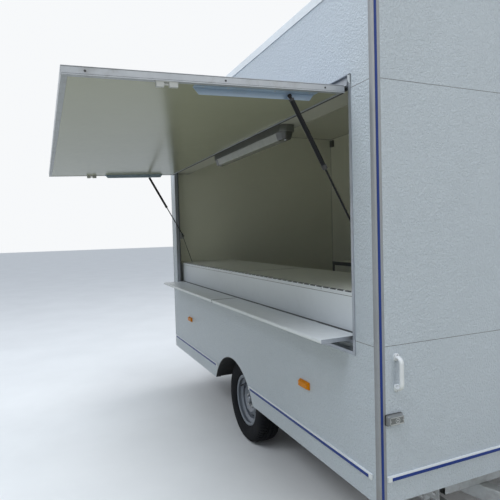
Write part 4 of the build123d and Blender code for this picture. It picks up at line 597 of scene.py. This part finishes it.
# Painted shade: dark strips where the shelves meet the board and under the lip
with piece("shelf_joint", "edge_grey") as bm:
    for out, low, high in ((0.0010, 0.7050, 0.7128), (0.0007, 0.8838, 0.8864)):
        block(bm, WORLD, (BOARD_REAR, BOARD_Y - out, low), (BOARD_FRONT, BOARD_Y, high))
with piece("worktop_joint", "edge_grey") as bm:
    prism(bm, Spot((-3.060, -0.9770, WORKTOP_TOP - 0.0002), (1, 0, 0), (0, 1, 0)),
          [(-0.0045, 0), (0.0045, 0), (0.0038, -0.0008), (-0.0038, -0.0008)], 0.0, 0.5930)

# Serving shelves: aluminium caps with two screws, dark ends where the sections meet, and a pale outer band
SHELVES = (("front", -3.047, -1.500), ("rear", -4.600, -3.053))
BAND = [(-1.2050, 0.6925), (-1.2062, 0.6932), (-1.2066, 0.7000), (-1.2062, 0.7068), (-1.2050, 0.7075)]


def shelf_end(name, end, way):
    """One end of a shelf section; way is 1 on an end that looks forward and -1 on one that looks back."""
    meets = abs(end - MIDDLE_X) < 0.01
    kind, look = ("joint", "sealant") if meets else ("cap", "aluminium")
    top = SHELF_TOP + 0.0004 if meets else SHELF_TOP - 0.0002
    spot = Spot((end, 0, 0), (0, 1, 0), (way, 0, 0))
    with piece(f"shelf_{kind}_{name}", look, f"shelf_{name}", bevel=0.0004) as bm:
        prism(bm, spot, [(-1.2052, way * 0.6900), (-1.0015, way * 0.6900), (-1.0015, way * top),
                         (-1.2052, way * top)], -0.004 if meets else 0.0, 0.0014)
        if not meets:
            for y in (-1.19, -1.03):
                screw(bm, spot, y, way * 0.700, 0.0032, 0.0014)


for name, low, high in SHELVES:
    shelf_end(name, low, -1)
    shelf_end(name, high, 1)
    with piece(f"shelf_band_{name}", "trim_white", f"shelf_{name}") as bm:
        prism(bm, forward(low + 0.001), BAND, 0.0, high - low - 0.002)

# Rubber seals on the jambs, narrower where the closed hatch's latches pass, and end plates on the drip hood
LATCH_LOW, LATCH_HIGH = 0.972, 1.104
SEAL_SPANS = ((SILL_TOP + 0.002, LATCH_LOW, 0.0125), (LATCH_LOW, LATCH_HIGH, 0.0045),
              (LATCH_HIGH, HEAD_UNDER - 0.002, 0.0125))
with piece("opening_seals", "sealant", bevel=0.001) as bm:
    for jamb, way in ((JAMB_FRONT, -1), (JAMB_REAR, 1)):
        for low, high, reach in SEAL_SPANS:
            prism(bm, Spot((jamb, 0, low), (way, 0, 0), (0, 0, 1)),
                  [(0, way * -1.0160), (0.3 * reach, way * -1.0165), (0.95 * reach, way * -1.0130),
                   (reach, way * -1.0100), (0.3 * reach, way * -1.0068), (0, way * -1.0062)], 0.0, high - low)
    block(bm, WORLD, (JAMB_REAR + 0.002, -1.0160, 1.8730), (JAMB_FRONT - 0.002, -1.0052, HEAD_UNDER + 0.0002))
with piece("hood_ends", "trim_white") as bm:
    for x in (-4.6430, -1.4585):
        prism(bm, forward(x), [(-1.0455, 1.879), (-1.0600, 1.885), (-1.0624, 1.915), (-1.0490, 1.9245),
                               (-1.0455, 1.9245)], 0.0, 0.0015)

# Hatch: screws, ridges and lines of painted shade on its side rails, screws in the strut rails and latches,
# the dark line at its hinge, and caps on the struts' studs
RAIL_LOW, RAIL_HIGH = 0.013, 1.228
STRUTS = (("front", -1.518, 1), ("rear", -4.582, -1))
STUD_REACH, STUD_DEPTH = 0.280, 0.052
# The outer faces of the hatch's side rails, and the way that each looks along x
RAIL_FACES = [(Spot(HATCH.at(edge, 0, 0), HATCH.y, (way, 0, 0)), way) for edge, way in HATCH_EDGES]
with piece("hatch_rail_screws", "sealant", "hatch", slot="black_plastic") as bm:
    for face, way in RAIL_FACES:
        for reach in (0.116, 0.595, 1.145):
            screw(bm, face, reach, way * 0.0165, 0.0046)
# The ridges are raised; the second piece's dark bands beside them are painted shade
for name, look, bevel, bands in (
        ("hatch_ridges", "hatch_rail", 0.0003, ((0.0292, 0.0338, 0.0009), (0.0004, 0.0026, 0.0006))),
        ("hatch_lines", "sealant", 0.0, ((0.0028, 0.0042, 0.0002), (0.0278, 0.0290, 0.0002)))):
    with piece(name, look, "hatch", bevel=bevel) as bm:
        for face, way in RAIL_FACES:
            for low, high, out in bands:
                block(bm, face, (RAIL_LOW, way * low, 0), (RAIL_HIGH, way * high, out))
with piece("hatch_screws", "screw_steel", "hatch") as bm:
    for edge, way in HATCH_EDGES:
        for reach in (0.175, 0.350, 0.460, 0.570, 0.680):
            screw(bm, HATCH, edge - way * 0.041, reach, 0.0042, 0.035)
    for edge, way in HATCH_EDGES:
        for reach in (0.807, 0.822, 0.861, 0.876):
            screw(bm, HATCH, edge - way * 0.012, reach, 0.0028, 0.055)
with piece("hinge_line", "rubber", "hatch") as bm:
    prism(bm, Spot(HATCH.at(HATCH_REAR + 0.004, 0, 0), HATCH.y, HATCH.x),
          [(0.0118, 0.0335), (0.0218, 0.0335), (0.0208, 0.0360), (0.0128, 0.0360)],
          0.0, HATCH_FRONT - HATCH_REAR - 0.008)
with piece("stud_caps", "strut_black", "hatch") as bm:
    for name, x, way in STRUTS:
        spun(bm, Spot(HATCH.at(x + way * 0.0044, STUD_REACH, STUD_DEPTH), (0, 1, 0), (way, 0, 0)),
             [(0, 0.0044), (0.0040, 0.0042), (0.0062, 0.0032), (0.0070, 0.0012), (0.0070, 0), (0, 0)], 28)

# Gas struts: end collars, the brackets' screws, and the thin stay from the far bracket to the worktop
MOUNT = HATCH.at(0, STUD_REACH, STUD_DEPTH)
FOOT = Vector((0, -0.983, 1.195))
STAY_X, STAY_FOOT_Y = -4.608, -0.887
for name, x, way in STRUTS:
    tube = Spot((x, MOUNT.y, MOUNT.z), (1, 0, 0), FOOT - MOUNT)
    with piece(f"strut_collars_{name}", "rubber", f"strut_cylinder_{name}") as bm:
        for low, high in ((0.0135, 0.0235), (0.3440, 0.3652)):
            spun(bm, tube, [(0.0108, low), (0.0117, low), (0.0123, low + 0.002), (0.0123, high - 0.002),
                            (0.0114, high), (0.0108, high)], 32, closed=True)
with piece("bracket_bolts", "screw_steel") as bm:
    for x in (-1.444, -4.656):
        for z in (FOOT.z - 0.019, FOOT.z + 0.019):
            bolt(bm, sideways(1, -1.002), -x, z, 0.005)
with piece("far_stay", "strut_black") as bm:
    spun(bm, forward(-4.6100, FOOT.y, FOOT.z),
         [(0.0042, 0), (0.0082, 0), (0.0082, 0.004), (0.0042, 0.004)], 24, closed=True)
    rod(bm, (STAY_X, FOOT.y + 0.0025, FOOT.z - 0.0075),
        (STAY_X, STAY_FOOT_Y, WORKTOP_TOP + 0.002), 0.0026, 12)
with piece("stay_foot", "zinc_steel") as bm:
    spun(bm, upward(WORKTOP_TOP, STAY_X, STAY_FOOT_Y),
         [(0, 0.004), (0.0035, 0.004), (0.005, 0.0022), (0.010, 0.0018), (0.011, 0)], 24)
    rod(bm, (STAY_X, STAY_FOOT_Y - 0.0035, WORKTOP_TOP + 0.0125),
        (STAY_X, STAY_FOOT_Y, WORKTOP_TOP + 0.0018), 0.0042, 14)

# Lamp: end screws, and the junction box in the far corner
BOX = Spot((-4.710, INNER, 2.286), (-1, 0, 0), (0, -1, 0))
with piece("lamp_screws", "screw_steel") as bm:
    for x in (-3.452, -2.278):
        spun(bm, downward(1.782, -0.950),
             [(0, 0.0022), (0.0025, 0.0010), (0.0032, 0.0030), (0.0070, 0.0032), (0.0085, 0.0018),
              (0.0090, -0.0005)], 24, (x, 0))
with piece("junction_box", "lamp_grey", bevel=0.002) as bm:
    block(bm, BOX, (-0.030, -0.040, 0), (0.030, 0.040, 0.024))
    block(bm, BOX, (-0.028, -0.038, 0.024), (0.028, 0.038, 0.030))
with piece("box_screws", "screw_steel") as bm:
    for a in (-0.022, 0.022):
        for b in (-0.032, 0.032):
            screw(bm, BOX, a, b, 0.0030, 0.030)

# Rubbing strips: domed blue inserts over the narrow grooves
INSERT_Z = 0.099
ARCH_NEAR, ARCH_FAR = 2.7422, 3.4138
STRIPS = ((SERVING, -4.755, -ARCH_FAR), (SERVING, -ARCH_NEAR, -1.345), (LEFT, 2.170, ARCH_NEAR),
          (LEFT, ARCH_FAR, 4.755), (NOSE, -1.003, 1.003), (TAIL, -1.003, 1.003))
DOME = [(INSERT_Z + up, out) for up, out in
        ((-0.0078, 0.0078), (-0.0072, 0.0090), (-0.0040, 0.0096), (0, 0.0099), (0.0040, 0.0096),
         (0.0072, 0.0090), (0.0078, 0.0078))]
with piece("trim_inserts", "blue_plastic") as bm:
    for spot, low, high in STRIPS:
        prism(bm, run_along(spot, low + 0.0225), DOME, 0.0, high - low - 0.045)

# Wheel arches: a dark lining over the panel's cut edge; its section is radius past the arch's and y
ARCH_R, ARCH_Z = 0.41906, -0.18406
ARCH_START, ARCH_SWEEP, ARCH_STEPS = 24.2, 131.6, 60
ARCH_SECTION = ((-0.0004, 1.0030), (-0.0024, 1.0030), (-0.0024, 1.0440), (-0.0014, 1.0458), (0.0016, 1.0458),
                (0.0016, 1.0449), (-0.0004, 1.0446))
with piece("arch_linings", "black_plastic") as bm:
    for way in (-1, 1):
        rings = []
        for k in range(ARCH_STEPS + 1):
            turn = math.radians(ARCH_START + ARCH_SWEEP * k / ARCH_STEPS)
            rings.append([bm.verts.new((AXLE_X + (ARCH_R + past) * math.cos(turn), way * y,
                                        ARCH_Z + (ARCH_R + past) * math.sin(turn)))
                          for past, y in ARCH_SECTION])
        skin(bm, rings)
        bm.faces.new(rings[0])
        bm.faces.new(rings[-1][::-1])

# Tyres with grooves, slanted sipes and sidewall rings, in millimetres
# Ribs: offset from the middle, depth of groove, depth of sipe
RIBS = ((14.3, 0, 3.0), (15.3, 7, 0), (20.7, 7, 0), (21.7, 0, 5.0), (32.5, 0, 5.0), (43.3, 0, 5.0),
        (44.3, 7, 0), (49.7, 7, 0), (50.7, 0, 6.0), (60.0, 0, 6.0), (70.0, 0, 6.0), (77.0, 0, 5.0))
# Flank and cavity: radius, offset from the middle
FLANK = ((303.2, 82.0), (297.0, 85.8), (290.0, 88.2), (289.4, 89.0), (282.0, 90.6), (270.5, 92.0),
         (270.0, 92.5), (267.0, 92.5), (266.5, 92.1), (255.0, 92.3), (245.0, 92.0), (235.5, 90.9),
         (235.0, 91.5), (232.6, 91.2), (232.0, 90.2), (225.0, 88.9), (218.0, 86.2), (217.5, 86.9),
         (215.5, 86.1), (215.0, 85.0), (208.5, 81.8), (206.5, 82.2), (204.5, 80.6), (201.2, 78.0),
         (198.8, 72.0), (196.2, 65.0), (179.9, 62.0))
CAVITY = ((178.5, 48.0), (200.0, 56.0), (225.0, 78.0), (255.0, 81.0), (292.0, 74.0), (304.0, 50.0))
# Steps round one pitch: place in it, and 1 where the sipe is
STEPS = ((0.0, 0), (0.03, 1), (0.17, 1), (0.20, 0), (0.60, 0))
PITCHES = 70
TREAD_RADIUS = 320.0
MOST_LEAN = 0.60


def crown(offset):
    """Tread radius at an offset from the middle."""
    if offset < 71:
        return TREAD_RADIUS - 5.0 * (offset / 70.0) ** 4
    return TREAD_RADIUS - 5.0 - 5.6 * (offset - 70.0) / 7.0


def lean(offset):
    """How far round, in pitches, a sipe has moved at an offset."""
    return 0.0 if offset < 21.7 else min(0.45 * (offset - 21.7) / 21.6, MOST_LEAN)


# Rows of the section: radius, offset, depth of sipe, lean
half = [(crown(w) - groove, w, sipe, lean(w)) for w, groove, sipe in RIBS]
half += [(r, w, 4.0 if r > 302 else 0, MOST_LEAN) for r, w in FLANK]
outer = [(r, -w, cut, -shift) for r, w, cut, shift in half[::-1]] + [(TREAD_RADIUS, 0.0, 0, 0.0)] + half
hollow = [(r, w, 0, MOST_LEAN) for r, w in CAVITY] + [(306.0, 0.0, 0, 0.0)]
hollow += [(r, -w, 0, -MOST_LEAN) for r, w in CAVITY[::-1]]


def tyre(name, way):
    bm = bmesh.new()
    rings = []
    for radius, offset, cut, shift in outer + hollow:
        ring = []
        for pitch in range(PITCHES):
            for part, deep in STEPS:
                turn = math.tau * (pitch + part + shift) / PITCHES
                r = (radius - (cut if deep else 0)) / 1000
                ring.append(bm.verts.new((AXLE_X + r * math.cos(turn), way * (WHEEL_Y + offset / 1000),
                                          AXLE_Z + r * math.sin(turn))))
        rings.append(ring)
    skin(bm, rings, closed=True)
    made = add_piece(f"tyre_{name}_tread", bm, "tyre", f"wheel_{name}")
    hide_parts(f"tyre_{name}")


WEIGHT_TURN, WEIGHT_RADIUS = 1.1, 0.189
VALVE_TURN = 2.6


def wheel_bolts(name, face):
    """Five bolts in their seats, the grease cap's rings and a balance weight."""
    with piece(f"wheel_bolts_{name}", "zinc_steel", f"wheel_{name}", bevel=0.0004) as bm:
        for k in range(5):
            turn = math.tau * (k + 0.25) / 5
            centre = (0.054 * math.cos(turn), 0.054 * math.sin(turn))
            spun(bm, face, [(0.0125, 0.0285), (0.0125, 0.0300), (0.0098, 0.0320)], 24, centre)
            spun(bm, face, [(0.0098, 0.0300), (0.0098, 0.0405), (0.0085, 0.0420), (0.0062, 0.0420),
                            (0.0058, 0.0400), (0, 0.0400)], 6, centre)
        spun(bm, face, [(0.0335, 0.0300), (0.0358, 0.0300), (0.0358, 0.0325), (0.0345, 0.0335),
                        (0.0335, 0.0335)], 40, closed=True)
        spun(bm, face, [(0.0090, 0.0578), (0.0100, 0.0588), (0.0110, 0.0590), (0.0120, 0.0578)], 32)
        along = face.x * -math.sin(WEIGHT_TURN) + face.y * math.cos(WEIGHT_TURN)
        weight = Spot(face.at(WEIGHT_RADIUS * math.cos(WEIGHT_TURN), WEIGHT_RADIUS * math.sin(WEIGHT_TURN)),
                      along, face.z)
        block(bm, weight, (-0.015, -0.005, 0.0712), (0.015, 0.005, 0.0745))


def valve(name, face):
    """A rubber valve with its cap and foot."""
    root, tip = [face.at(radius * math.cos(VALVE_TURN), radius * math.sin(VALVE_TURN), out)
                 for radius, out in ((0.156, 0.037), (0.147, 0.066))]
    with piece(f"valve_{name}", "rubber", f"wheel_{name}") as bm:
        rod(bm, root, tip, 0.0042, 16)
        rod(bm, root.lerp(tip, 0.62), root.lerp(tip, 1.03), 0.0052, 12)
        rod(bm, root.lerp(tip, -0.05), root.lerp(tip, 0.16), 0.0078, 20)


for name, way in (("left", 1), ("right", -1)):
    tyre(name, way)
    face = Spot((AXLE_X, way * WHEEL_Y, AXLE_Z), (1, 0, 0), (0, way, 0))
    wheel_bolts(name, face)
    valve(name, face)

# Chassis: bolts on the rails' webs, the axle's clamp plates and the steadies
BOLT_STATIONS = (0.070, 0.870, 2.100, 2.780, 3.430)   # behind the front wall
STEADY_STATIONS = ((0.170, -1), (3.330, 1))
CLAMP_X = -2.918
with piece("chassis_bolts", "zinc_steel") as bm:
    for way in (-1, 1):
        for station in BOLT_STATIONS:
            for z in (-0.078, -0.042):
                bolt(bm, sideways(way, 0.665), -way * (FRONT - station), z, 0.0075)
        for x in (CLAMP_X - 0.070, CLAMP_X + 0.070):
            bolt(bm, downward(-0.118), x, -way * 0.640, 0.010)
        for station, inward in STEADY_STATIONS:
            bolt(bm, sideways(way, 0.658), -way * (FRONT - station - inward * 0.012), -0.136, 0.0065)

# Coupling: bolts in its foot and sides, two grease nipples on top, and the ribs of its grip
with piece("coupling_bolts", "zinc_steel") as bm:
    for x in (-0.495, -0.285):
        for y in (-0.046, 0.046):
            bolt(bm, upward(-0.082), x, y, 0.0085)
        for way in (-1, 1):
            bolt(bm, sideways(way, 0.022), -way * x, -0.048, 0.0085)
    for x in (-0.440, -0.330):
        spun(bm, upward(0.0565, x), [(0.0050, -0.001), (0.0050, 0.0040), (0, 0.0040)], 6)
        spun(bm, upward(0.0565, x), [(0.0030, 0.004), (0.0030, 0.007), (0.0018, 0.0085), (0.0026, 0.0100),
                                     (0.0018, 0.0118), (0, 0.0122)], 16)
    for x, reach in ((-0.135, 0.0318), (-0.095, 0.0295)):
        for way in (-1, 1):
            bolt(bm, sideways(way, reach), -way * x, 0.024, 0.0080)
with piece("coupling_grip", "black_plastic", bevel=0.0008) as bm:
    for k in range(7):
        x = -0.208 + k * 0.0075
        block(bm, WORLD, (x, -0.0075, 0.0765), (x + 0.0045, 0.0075, 0.0798))

# Handbrake lever: rubber grip with rings, a release button and the pivot's bolt
LEVER_LEAN = math.radians(38)
grip = Spot((-0.640, -0.0423, 0.184), (0, 1, 0), (-math.cos(LEVER_LEAN), 0, math.sin(LEVER_LEAN)))
profile = [(0.0110, 0.004), (0.0138, 0.005)]
for k in range(9):
    low = 0.010 + k * 0.0098
    profile += [(0.0142, low), (0.0142, low + 0.0062), (0.0130, low + 0.0072), (0.0130, low + 0.0088)]
profile += [(0.0142, 0.0990), (0.0135, 0.1030), (0.0110, 0.1040)]
with piece("handbrake_grip", "rubber") as bm:
    spun(bm, grip, profile, 32)
with piece("handbrake_button", "zinc_steel") as bm:
    spun(bm, grip, [(0.0055, 0.1090), (0.0055, 0.1150), (0.0045, 0.1170), (0, 0.1172)], 20)
    bolt(bm, sideways(-1, 0.0473), -0.456, 0.018, 0.0070)

# Jockey stand: clamp screw with its handle, crank nut and grip, axle nuts and the wheel's ribs
JOCKEY_X, JOCKEY_Y = -0.470, 0.1899
CASTER_X, CASTER_Z = JOCKEY_X - 0.035, -0.330
CRANK_TOP = 0.374
CLAMP_Z = -0.130
handle_y = JOCKEY_Y + 0.068
with piece("jockey_clamp", "zinc_steel") as bm:
    rod(bm, (JOCKEY_X, JOCKEY_Y + 0.030, CLAMP_Z), (JOCKEY_X, JOCKEY_Y + 0.066, CLAMP_Z), 0.0065, 20)
    rod(bm, (JOCKEY_X - 0.046, handle_y, CLAMP_Z + 0.018), (JOCKEY_X + 0.046, handle_y, CLAMP_Z - 0.018),
        0.0055, 20)
    spun(bm, Spot((JOCKEY_X, handle_y, CLAMP_Z), (1, 0, 0), (0, 1, 0)),
         [(0, -0.009), (0.0105, -0.009), (0.0115, -0.006), (0.0115, 0.006), (0.0105, 0.009), (0, 0.009)], 24)
    bolt(bm, upward(CRANK_TOP), JOCKEY_X, JOCKEY_Y, 0.0090)
profile = [(0.0112, 0.004)]
for k in range(6):
    low = 0.006 + k * 0.0110
    profile += [(0.0130, low), (0.0136, low + 0.003), (0.0136, low + 0.007), (0.0130, low + 0.0095)]
profile += [(0.0128, 0.0735), (0.0090, 0.0752), (0, 0.0757)]
with piece("crank_grip", "black_plastic") as bm:
    spun(bm, upward(CRANK_TOP, JOCKEY_X - 0.100, JOCKEY_Y), profile, 32)
with piece("jockey_ribs", "rubber", "caster_wheel", bevel=0.001) as bm:
    for way in (-1, 1):
        for k in range(6):
            turn = math.tau * k / 6
            spoke = Spot((CASTER_X, JOCKEY_Y, CASTER_Z), (math.cos(turn), 0, -way * math.sin(turn)),
                         (0, way, 0))
            block(bm, spoke, (0.021, -0.0028, 0.0075), (0.0665, 0.0028, 0.0150))
with piece("jockey_nuts", "zinc_steel", "caster") as bm:
    for way in (-1, 1):
        side = Spot((CASTER_X, JOCKEY_Y + way * 0.037, CASTER_Z), (1, 0, 0), (0, way, 0))
        bolt(bm, side, 0.0, 0.0, 0.0085, -0.0005)

# Grab handles, front lamps and side markers: screws, and the front lamps' frames and ribs
HANDLE_Y = 0.945
LAMP_Y, LAMP_Z = 0.965, 0.369
BULB_SHIFT = 0.004
MARKERS = ((SERVING, -1.940, 0.355), (SERVING, -4.180, 0.370), (LEFT, 2.340, 0.370), (LEFT, 4.180, 0.370))
FRAME_BARS = (((-0.0375, -0.0168), (0.0375, -0.0125)), ((-0.0375, 0.0145), (0.0375, 0.0168)),
              ((-0.0375, -0.0168), (-0.0352, 0.0168)), ((0.0352, -0.0168), (0.0375, 0.0168)))
glass = forward(-1.274, 0, LAMP_Z)
with piece("fitting_screws", "screw_steel") as bm:
    for way in (-1, 1):
        for z in (0.4935, 0.6545):
            screw(bm, forward(-1.291), way * HANDLE_Y, z, 0.0034)
        for dy in (-0.033, 0.033):
            screw(bm, forward(-1.2742), way * LAMP_Y + dy, LAMP_Z, 0.0026)
    for spot, along, z in MARKERS:
        for shift in (-0.041, 0.041):
            screw(bm, spot, along + shift, z, 0.0022, 0.0180)
with piece("front_lamp_frames", "latch_white") as bm:
    for way in (-1, 1):
        middle = way * LAMP_Y
        for low, high in FRAME_BARS:
            block(bm, glass, (middle + low[0], low[1], -0.0004), (middle + high[0], high[1], 0.0008))
        bulb = (middle + BULB_SHIFT, 0)
        spun(bm, glass, [(0.0120, -0.0002), (0.0120, 0.0007), (0.0102, 0.0007), (0.0096, -0.0002)], 32, bulb)
        spun(bm, glass, [(0, 0.0008), (0.0034, 0.0006), (0.0040, -0.0002)], 20, bulb)
with piece("front_lamp_ribs", "lamp_grey", slot="clear_lens") as bm:
    for way in (-1, 1):
        for k in range(13):
            y = way * LAMP_Y - 0.0330 + k * 0.0055
            if abs(y - way * LAMP_Y - BULB_SHIFT) > 0.013:
                block(bm, glass, (y - 0.0009, -0.0128, -0.0004), (y + 0.0009, 0.0145, 0.0005))

# Rear reflectors: blank triangles in a rim
REFLECTOR_Y, REFLECTOR_Z = 0.640, 0.208


def triangle(y, reach):
    """The outline of a triangle with softened tips."""
    corners = []
    for k in range(3):
        turn = math.pi / 2 + math.tau * k / 3
        for bend in (-0.95, 0.0, 0.95):
            corners.append((y + reach * (0.9 * math.cos(turn) + 0.1 * math.cos(turn + bend)),
                            REFLECTOR_Z + reach * (0.9 * math.sin(turn) + 0.1 * math.sin(turn + bend))))
    return corners


for name, look, reach, depth in (("rear_reflectors", "reflector_red", 0.0740, 0.0058),
                                 ("reflector_rims", "black_plastic", 0.0866, 0.0042)):
    with piece(name, look, bevel=0.0008) as bm:
        for y in (-REFLECTOR_Y, REFLECTOR_Y):
            prism(bm, TAIL, triangle(y, reach), 0.0, depth)

# Door: hinge screws, lock cylinder, plate screws and the seal in the frame
HINGES = (0.330, 1.560)
LOCK_X = 2.050
SEAL_WIDTH = 0.0025
with piece("door_screws", "screw_steel", "side_door") as bm:
    for base in HINGES:
        for along in (1.562, 1.528, 1.494, 1.460):
            for rise in (-0.011, 0.011):
                screw(bm, LEFT, along, base + 0.0675 + rise, 0.0036, 0.0060)
    for z in (0.916, 1.064):
        screw(bm, LEFT, LOCK_X, z, 0.0034, 0.0060)
    spun(bm, LEFT, [(0.0100, 0.0055), (0.0100, 0.0085), (0.0090, 0.0095), (0.0030, 0.0095), (0.0026, 0.0080),
                    (0, 0.0080)], 28, (LOCK_X, 0.955))
with piece("hinge_plate_screws", "screw_steel") as bm:
    for base in HINGES:
        for rise in (0.012, 0.034):
            screw(bm, LEFT, 1.372, base + rise, 0.0032, 0.0090)
with piece("door_seal", "sealant") as bm:
    for x in (-1.4065, -2.1160):
        block(bm, WORLD, (x, 1.014, 0.036), (x + SEAL_WIDTH, 1.040, 1.852))
    block(bm, WORLD, (-2.115, 1.014, 1.8515), (-1.405, 1.040, 1.8540))

# Roof edge: a row of rivets on each wall, about 0.19 m apart
RIVET_PITCH = 0.19
RIVET = [(0, 0.0011), (0.0012, 0.0010), (0.0016, 0.0016), (0.0030, 0.0012), (0.0038, 0)]
ROWS = ((SERVING, -4.760, -1.340), (LEFT, 1.340, 4.760), (NOSE, -1.000, 1.000), (TAIL, -1.000, 1.000))
with piece("edge_rivets", "trim_white") as bm:
    for spot, low, high in ROWS:
        count = round((high - low) / RIVET_PITCH)
        for k in range(count + 1):
            spun(bm, Spot(spot.at(0, 0, 0.004), spot.x, spot.z), RIVET, 12,
                 (low + (high - low) * k / count, 2.3600))

# Darker beads in the cabin's corners as painted shade: four upright, and three under the ceiling
FILLET = 0.009
with piece("corner_shade_beads", "corner_shade_grey") as bm:
    for y, top in ((INNER, CEILING - 0.001), (-INNER, 1.868)):
        for x, inward in ((INNER_REAR, FILLET), (INNER_FRONT, -FILLET)):
            across = math.copysign(FILLET, -y)
            prism(bm, WORLD, [(x, y), (x + inward, y), (x + inward * 0.45, y + across * 0.45),
                              (x, y + across)], FLOOR_TOP + 0.001, top)
    for x, inward in ((INNER_REAR, FILLET), (INNER_FRONT, -FILLET)):
        prism(bm, Spot((x, -0.850, CEILING), (1, 0, 0), (0, 1, 0)),
              [(0, 0), (inward, 0), (inward * 0.45, 0.004), (0, FILLET)], 0.0, 1.845)
    prism(bm, forward(INNER_REAR + FILLET, INNER, CEILING),
          [(0, 0), (-FILLET, 0), (-0.004, -0.004), (0, -FILLET)], 0.0, 3.402)

# Back counter: dark bands on the edges of its top and of its two end panels
COUNTER_REAR, COUNTER_FRONT = -4.230, -2.250
BAND_LOW, BAND_HIGH = 0.8206, 0.8596
with piece("counter_edges", "edge_grey", slot="board_white", bevel=0.0003) as bm:
    for y, low, high in ((0.6498, BAND_LOW, 0.8300), (0.6490, 0.8300, 0.8500), (0.6498, 0.8500, BAND_HIGH)):
        block(bm, WORLD, (COUNTER_REAR, y, low), (COUNTER_FRONT, 0.6512, high))
    for x in (COUNTER_REAR - 0.0012, COUNTER_FRONT - 0.0002):
        block(bm, WORLD, (x, 0.6512, BAND_LOW), (x + 0.0014, 1.004, BAND_HIGH))
    for x in (COUNTER_REAR - 0.0035, COUNTER_FRONT - 0.0400):
        block(bm, WORLD, (x, 0.6536, FLOOR_TOP + 0.001), (x + 0.0435, 0.6552, 0.8200))

# Camera, solved from the photograph's edges; yaw is its heading from x
FOCAL_PIXELS = 478.3
PHOTO_PIXELS = 500
SENSOR = 36
YAW, PITCH, ROLL = math.radians(156.58), math.radians(2.11), math.radians(1.56)
CAMERA_PLACE = (0.377, -2.362, 1.213)
ahead = Vector((math.cos(YAW) * math.cos(PITCH), math.sin(YAW) * math.cos(PITCH), -math.sin(PITCH)))
across = ahead.cross(Vector((0, 0, 1))).normalized()
down = ahead.cross(across)
right = across * math.cos(ROLL) + down * math.sin(ROLL)
drop = down * math.cos(ROLL) - across * math.sin(ROLL)
scene = bpy.context.scene
camera_data = bpy.data.cameras.new("camera")
camera_data.lens = FOCAL_PIXELS / PHOTO_PIXELS * SENSOR
camera_data.sensor_width = SENSOR
camera_data.clip_end = 200
camera = bpy.data.objects.new("camera", camera_data)
scene.collection.objects.link(camera)
scene.camera = camera
camera.matrix_world = Matrix.Translation(CAMERA_PLACE) @ Matrix((right, -drop, -ahead)).transposed().to_4x4()
scene.view_settings.view_transform = "Standard"

# Sky: its light is strongest from above, as under an even grey sky, and the backdrop that shows is pale
sky = Look(bpy.data.worlds.new("sky"))
scene.world = sky.holder
height = sky.make("SeparateXYZ", {0: sky.coordinates["Generated"]}).outputs[2]
glow = sky.tree.nodes["Background"]
sky.put(glow.inputs["Color"], (0.82, 0.90, 1.0))
sky.put(glow.inputs["Strength"], sky.span(height, -0.05, 0.9, 0.235, 0.83))
backdrop = sky.make("Background", {"Color": (0.93, 0.945, 0.96), "Strength": 1.0})
choose = sky.make("MixShader", {0: sky.seen(), 1: glow.outputs[0], 2: backdrop.outputs[0]})
sky.put(sky.tree.nodes["World Output"].inputs[0], choose.outputs[0])

# Lamps: name, place, aim, size, power, tint. The one at the back gives no highlights
for name, place, aim, size, power, tint in (
        ("key", (-1.5, -5.0, 8.0), (-3.0, -0.5, 0.8), 6.0, 520, (0.90, 0.95, 1.0)),
        ("fill", (5.5, 0.5, 4.5), (-2.0, 0.0, 0.5), 5.0, 158, (1.0, 1.0, 0.97)),
        ("back", (-6.0, 6.0, 6.0), (-3.0, 0.5, 1.0), 5.0, 200, (1.0, 0.98, 0.95))):
    lamp = bpy.data.lights.new(name, "AREA")
    lamp.shape = "SQUARE"
    lamp.size = size
    lamp.energy = power
    lamp.color = tint
    holder = bpy.data.objects.new(name, lamp)
    scene.collection.objects.link(holder)
    holder.visible_glossy = name != "back"
    holder.location = place
    holder.rotation_euler = (Vector(aim) - Vector(place)).to_track_quat("-Z", "Y").to_euler()

# Floor: pale where it is seen, and darker where it only lights the object from below
GROUND_LIT = (0.50, 0.49, 0.40)
look = Look(bpy.data.materials.new("ground"))
pale = look.blend(look.span(look.noise(0.8, 5.0, 0.6), 0.3, 0.7), (0.78, 0.785, 0.79), (0.83, 0.835, 0.84))
pale = look.blend(look.seen(), GROUND_LIT, pale)
look.put(look.shader.inputs["Base Color"], pale)
look.shader.inputs["Roughness"].default_value = 0.9
look.relief(look.noise(0.01, 4.0, 0.6), 0.0004, 0.5)
bm = bmesh.new()
bmesh.ops.create_grid(bm, x_segments=8, y_segments=8, size=60)
ground_mesh = bpy.data.meshes.new("ground")
bm.to_mesh(ground_mesh)
bm.free()
ground_mesh.materials.append(look.holder)
ground = bpy.data.objects.new("ground", ground_mesh)
scene.collection.objects.link(ground)
ground.location = (-3.0, 0, GROUND - 0.0005)
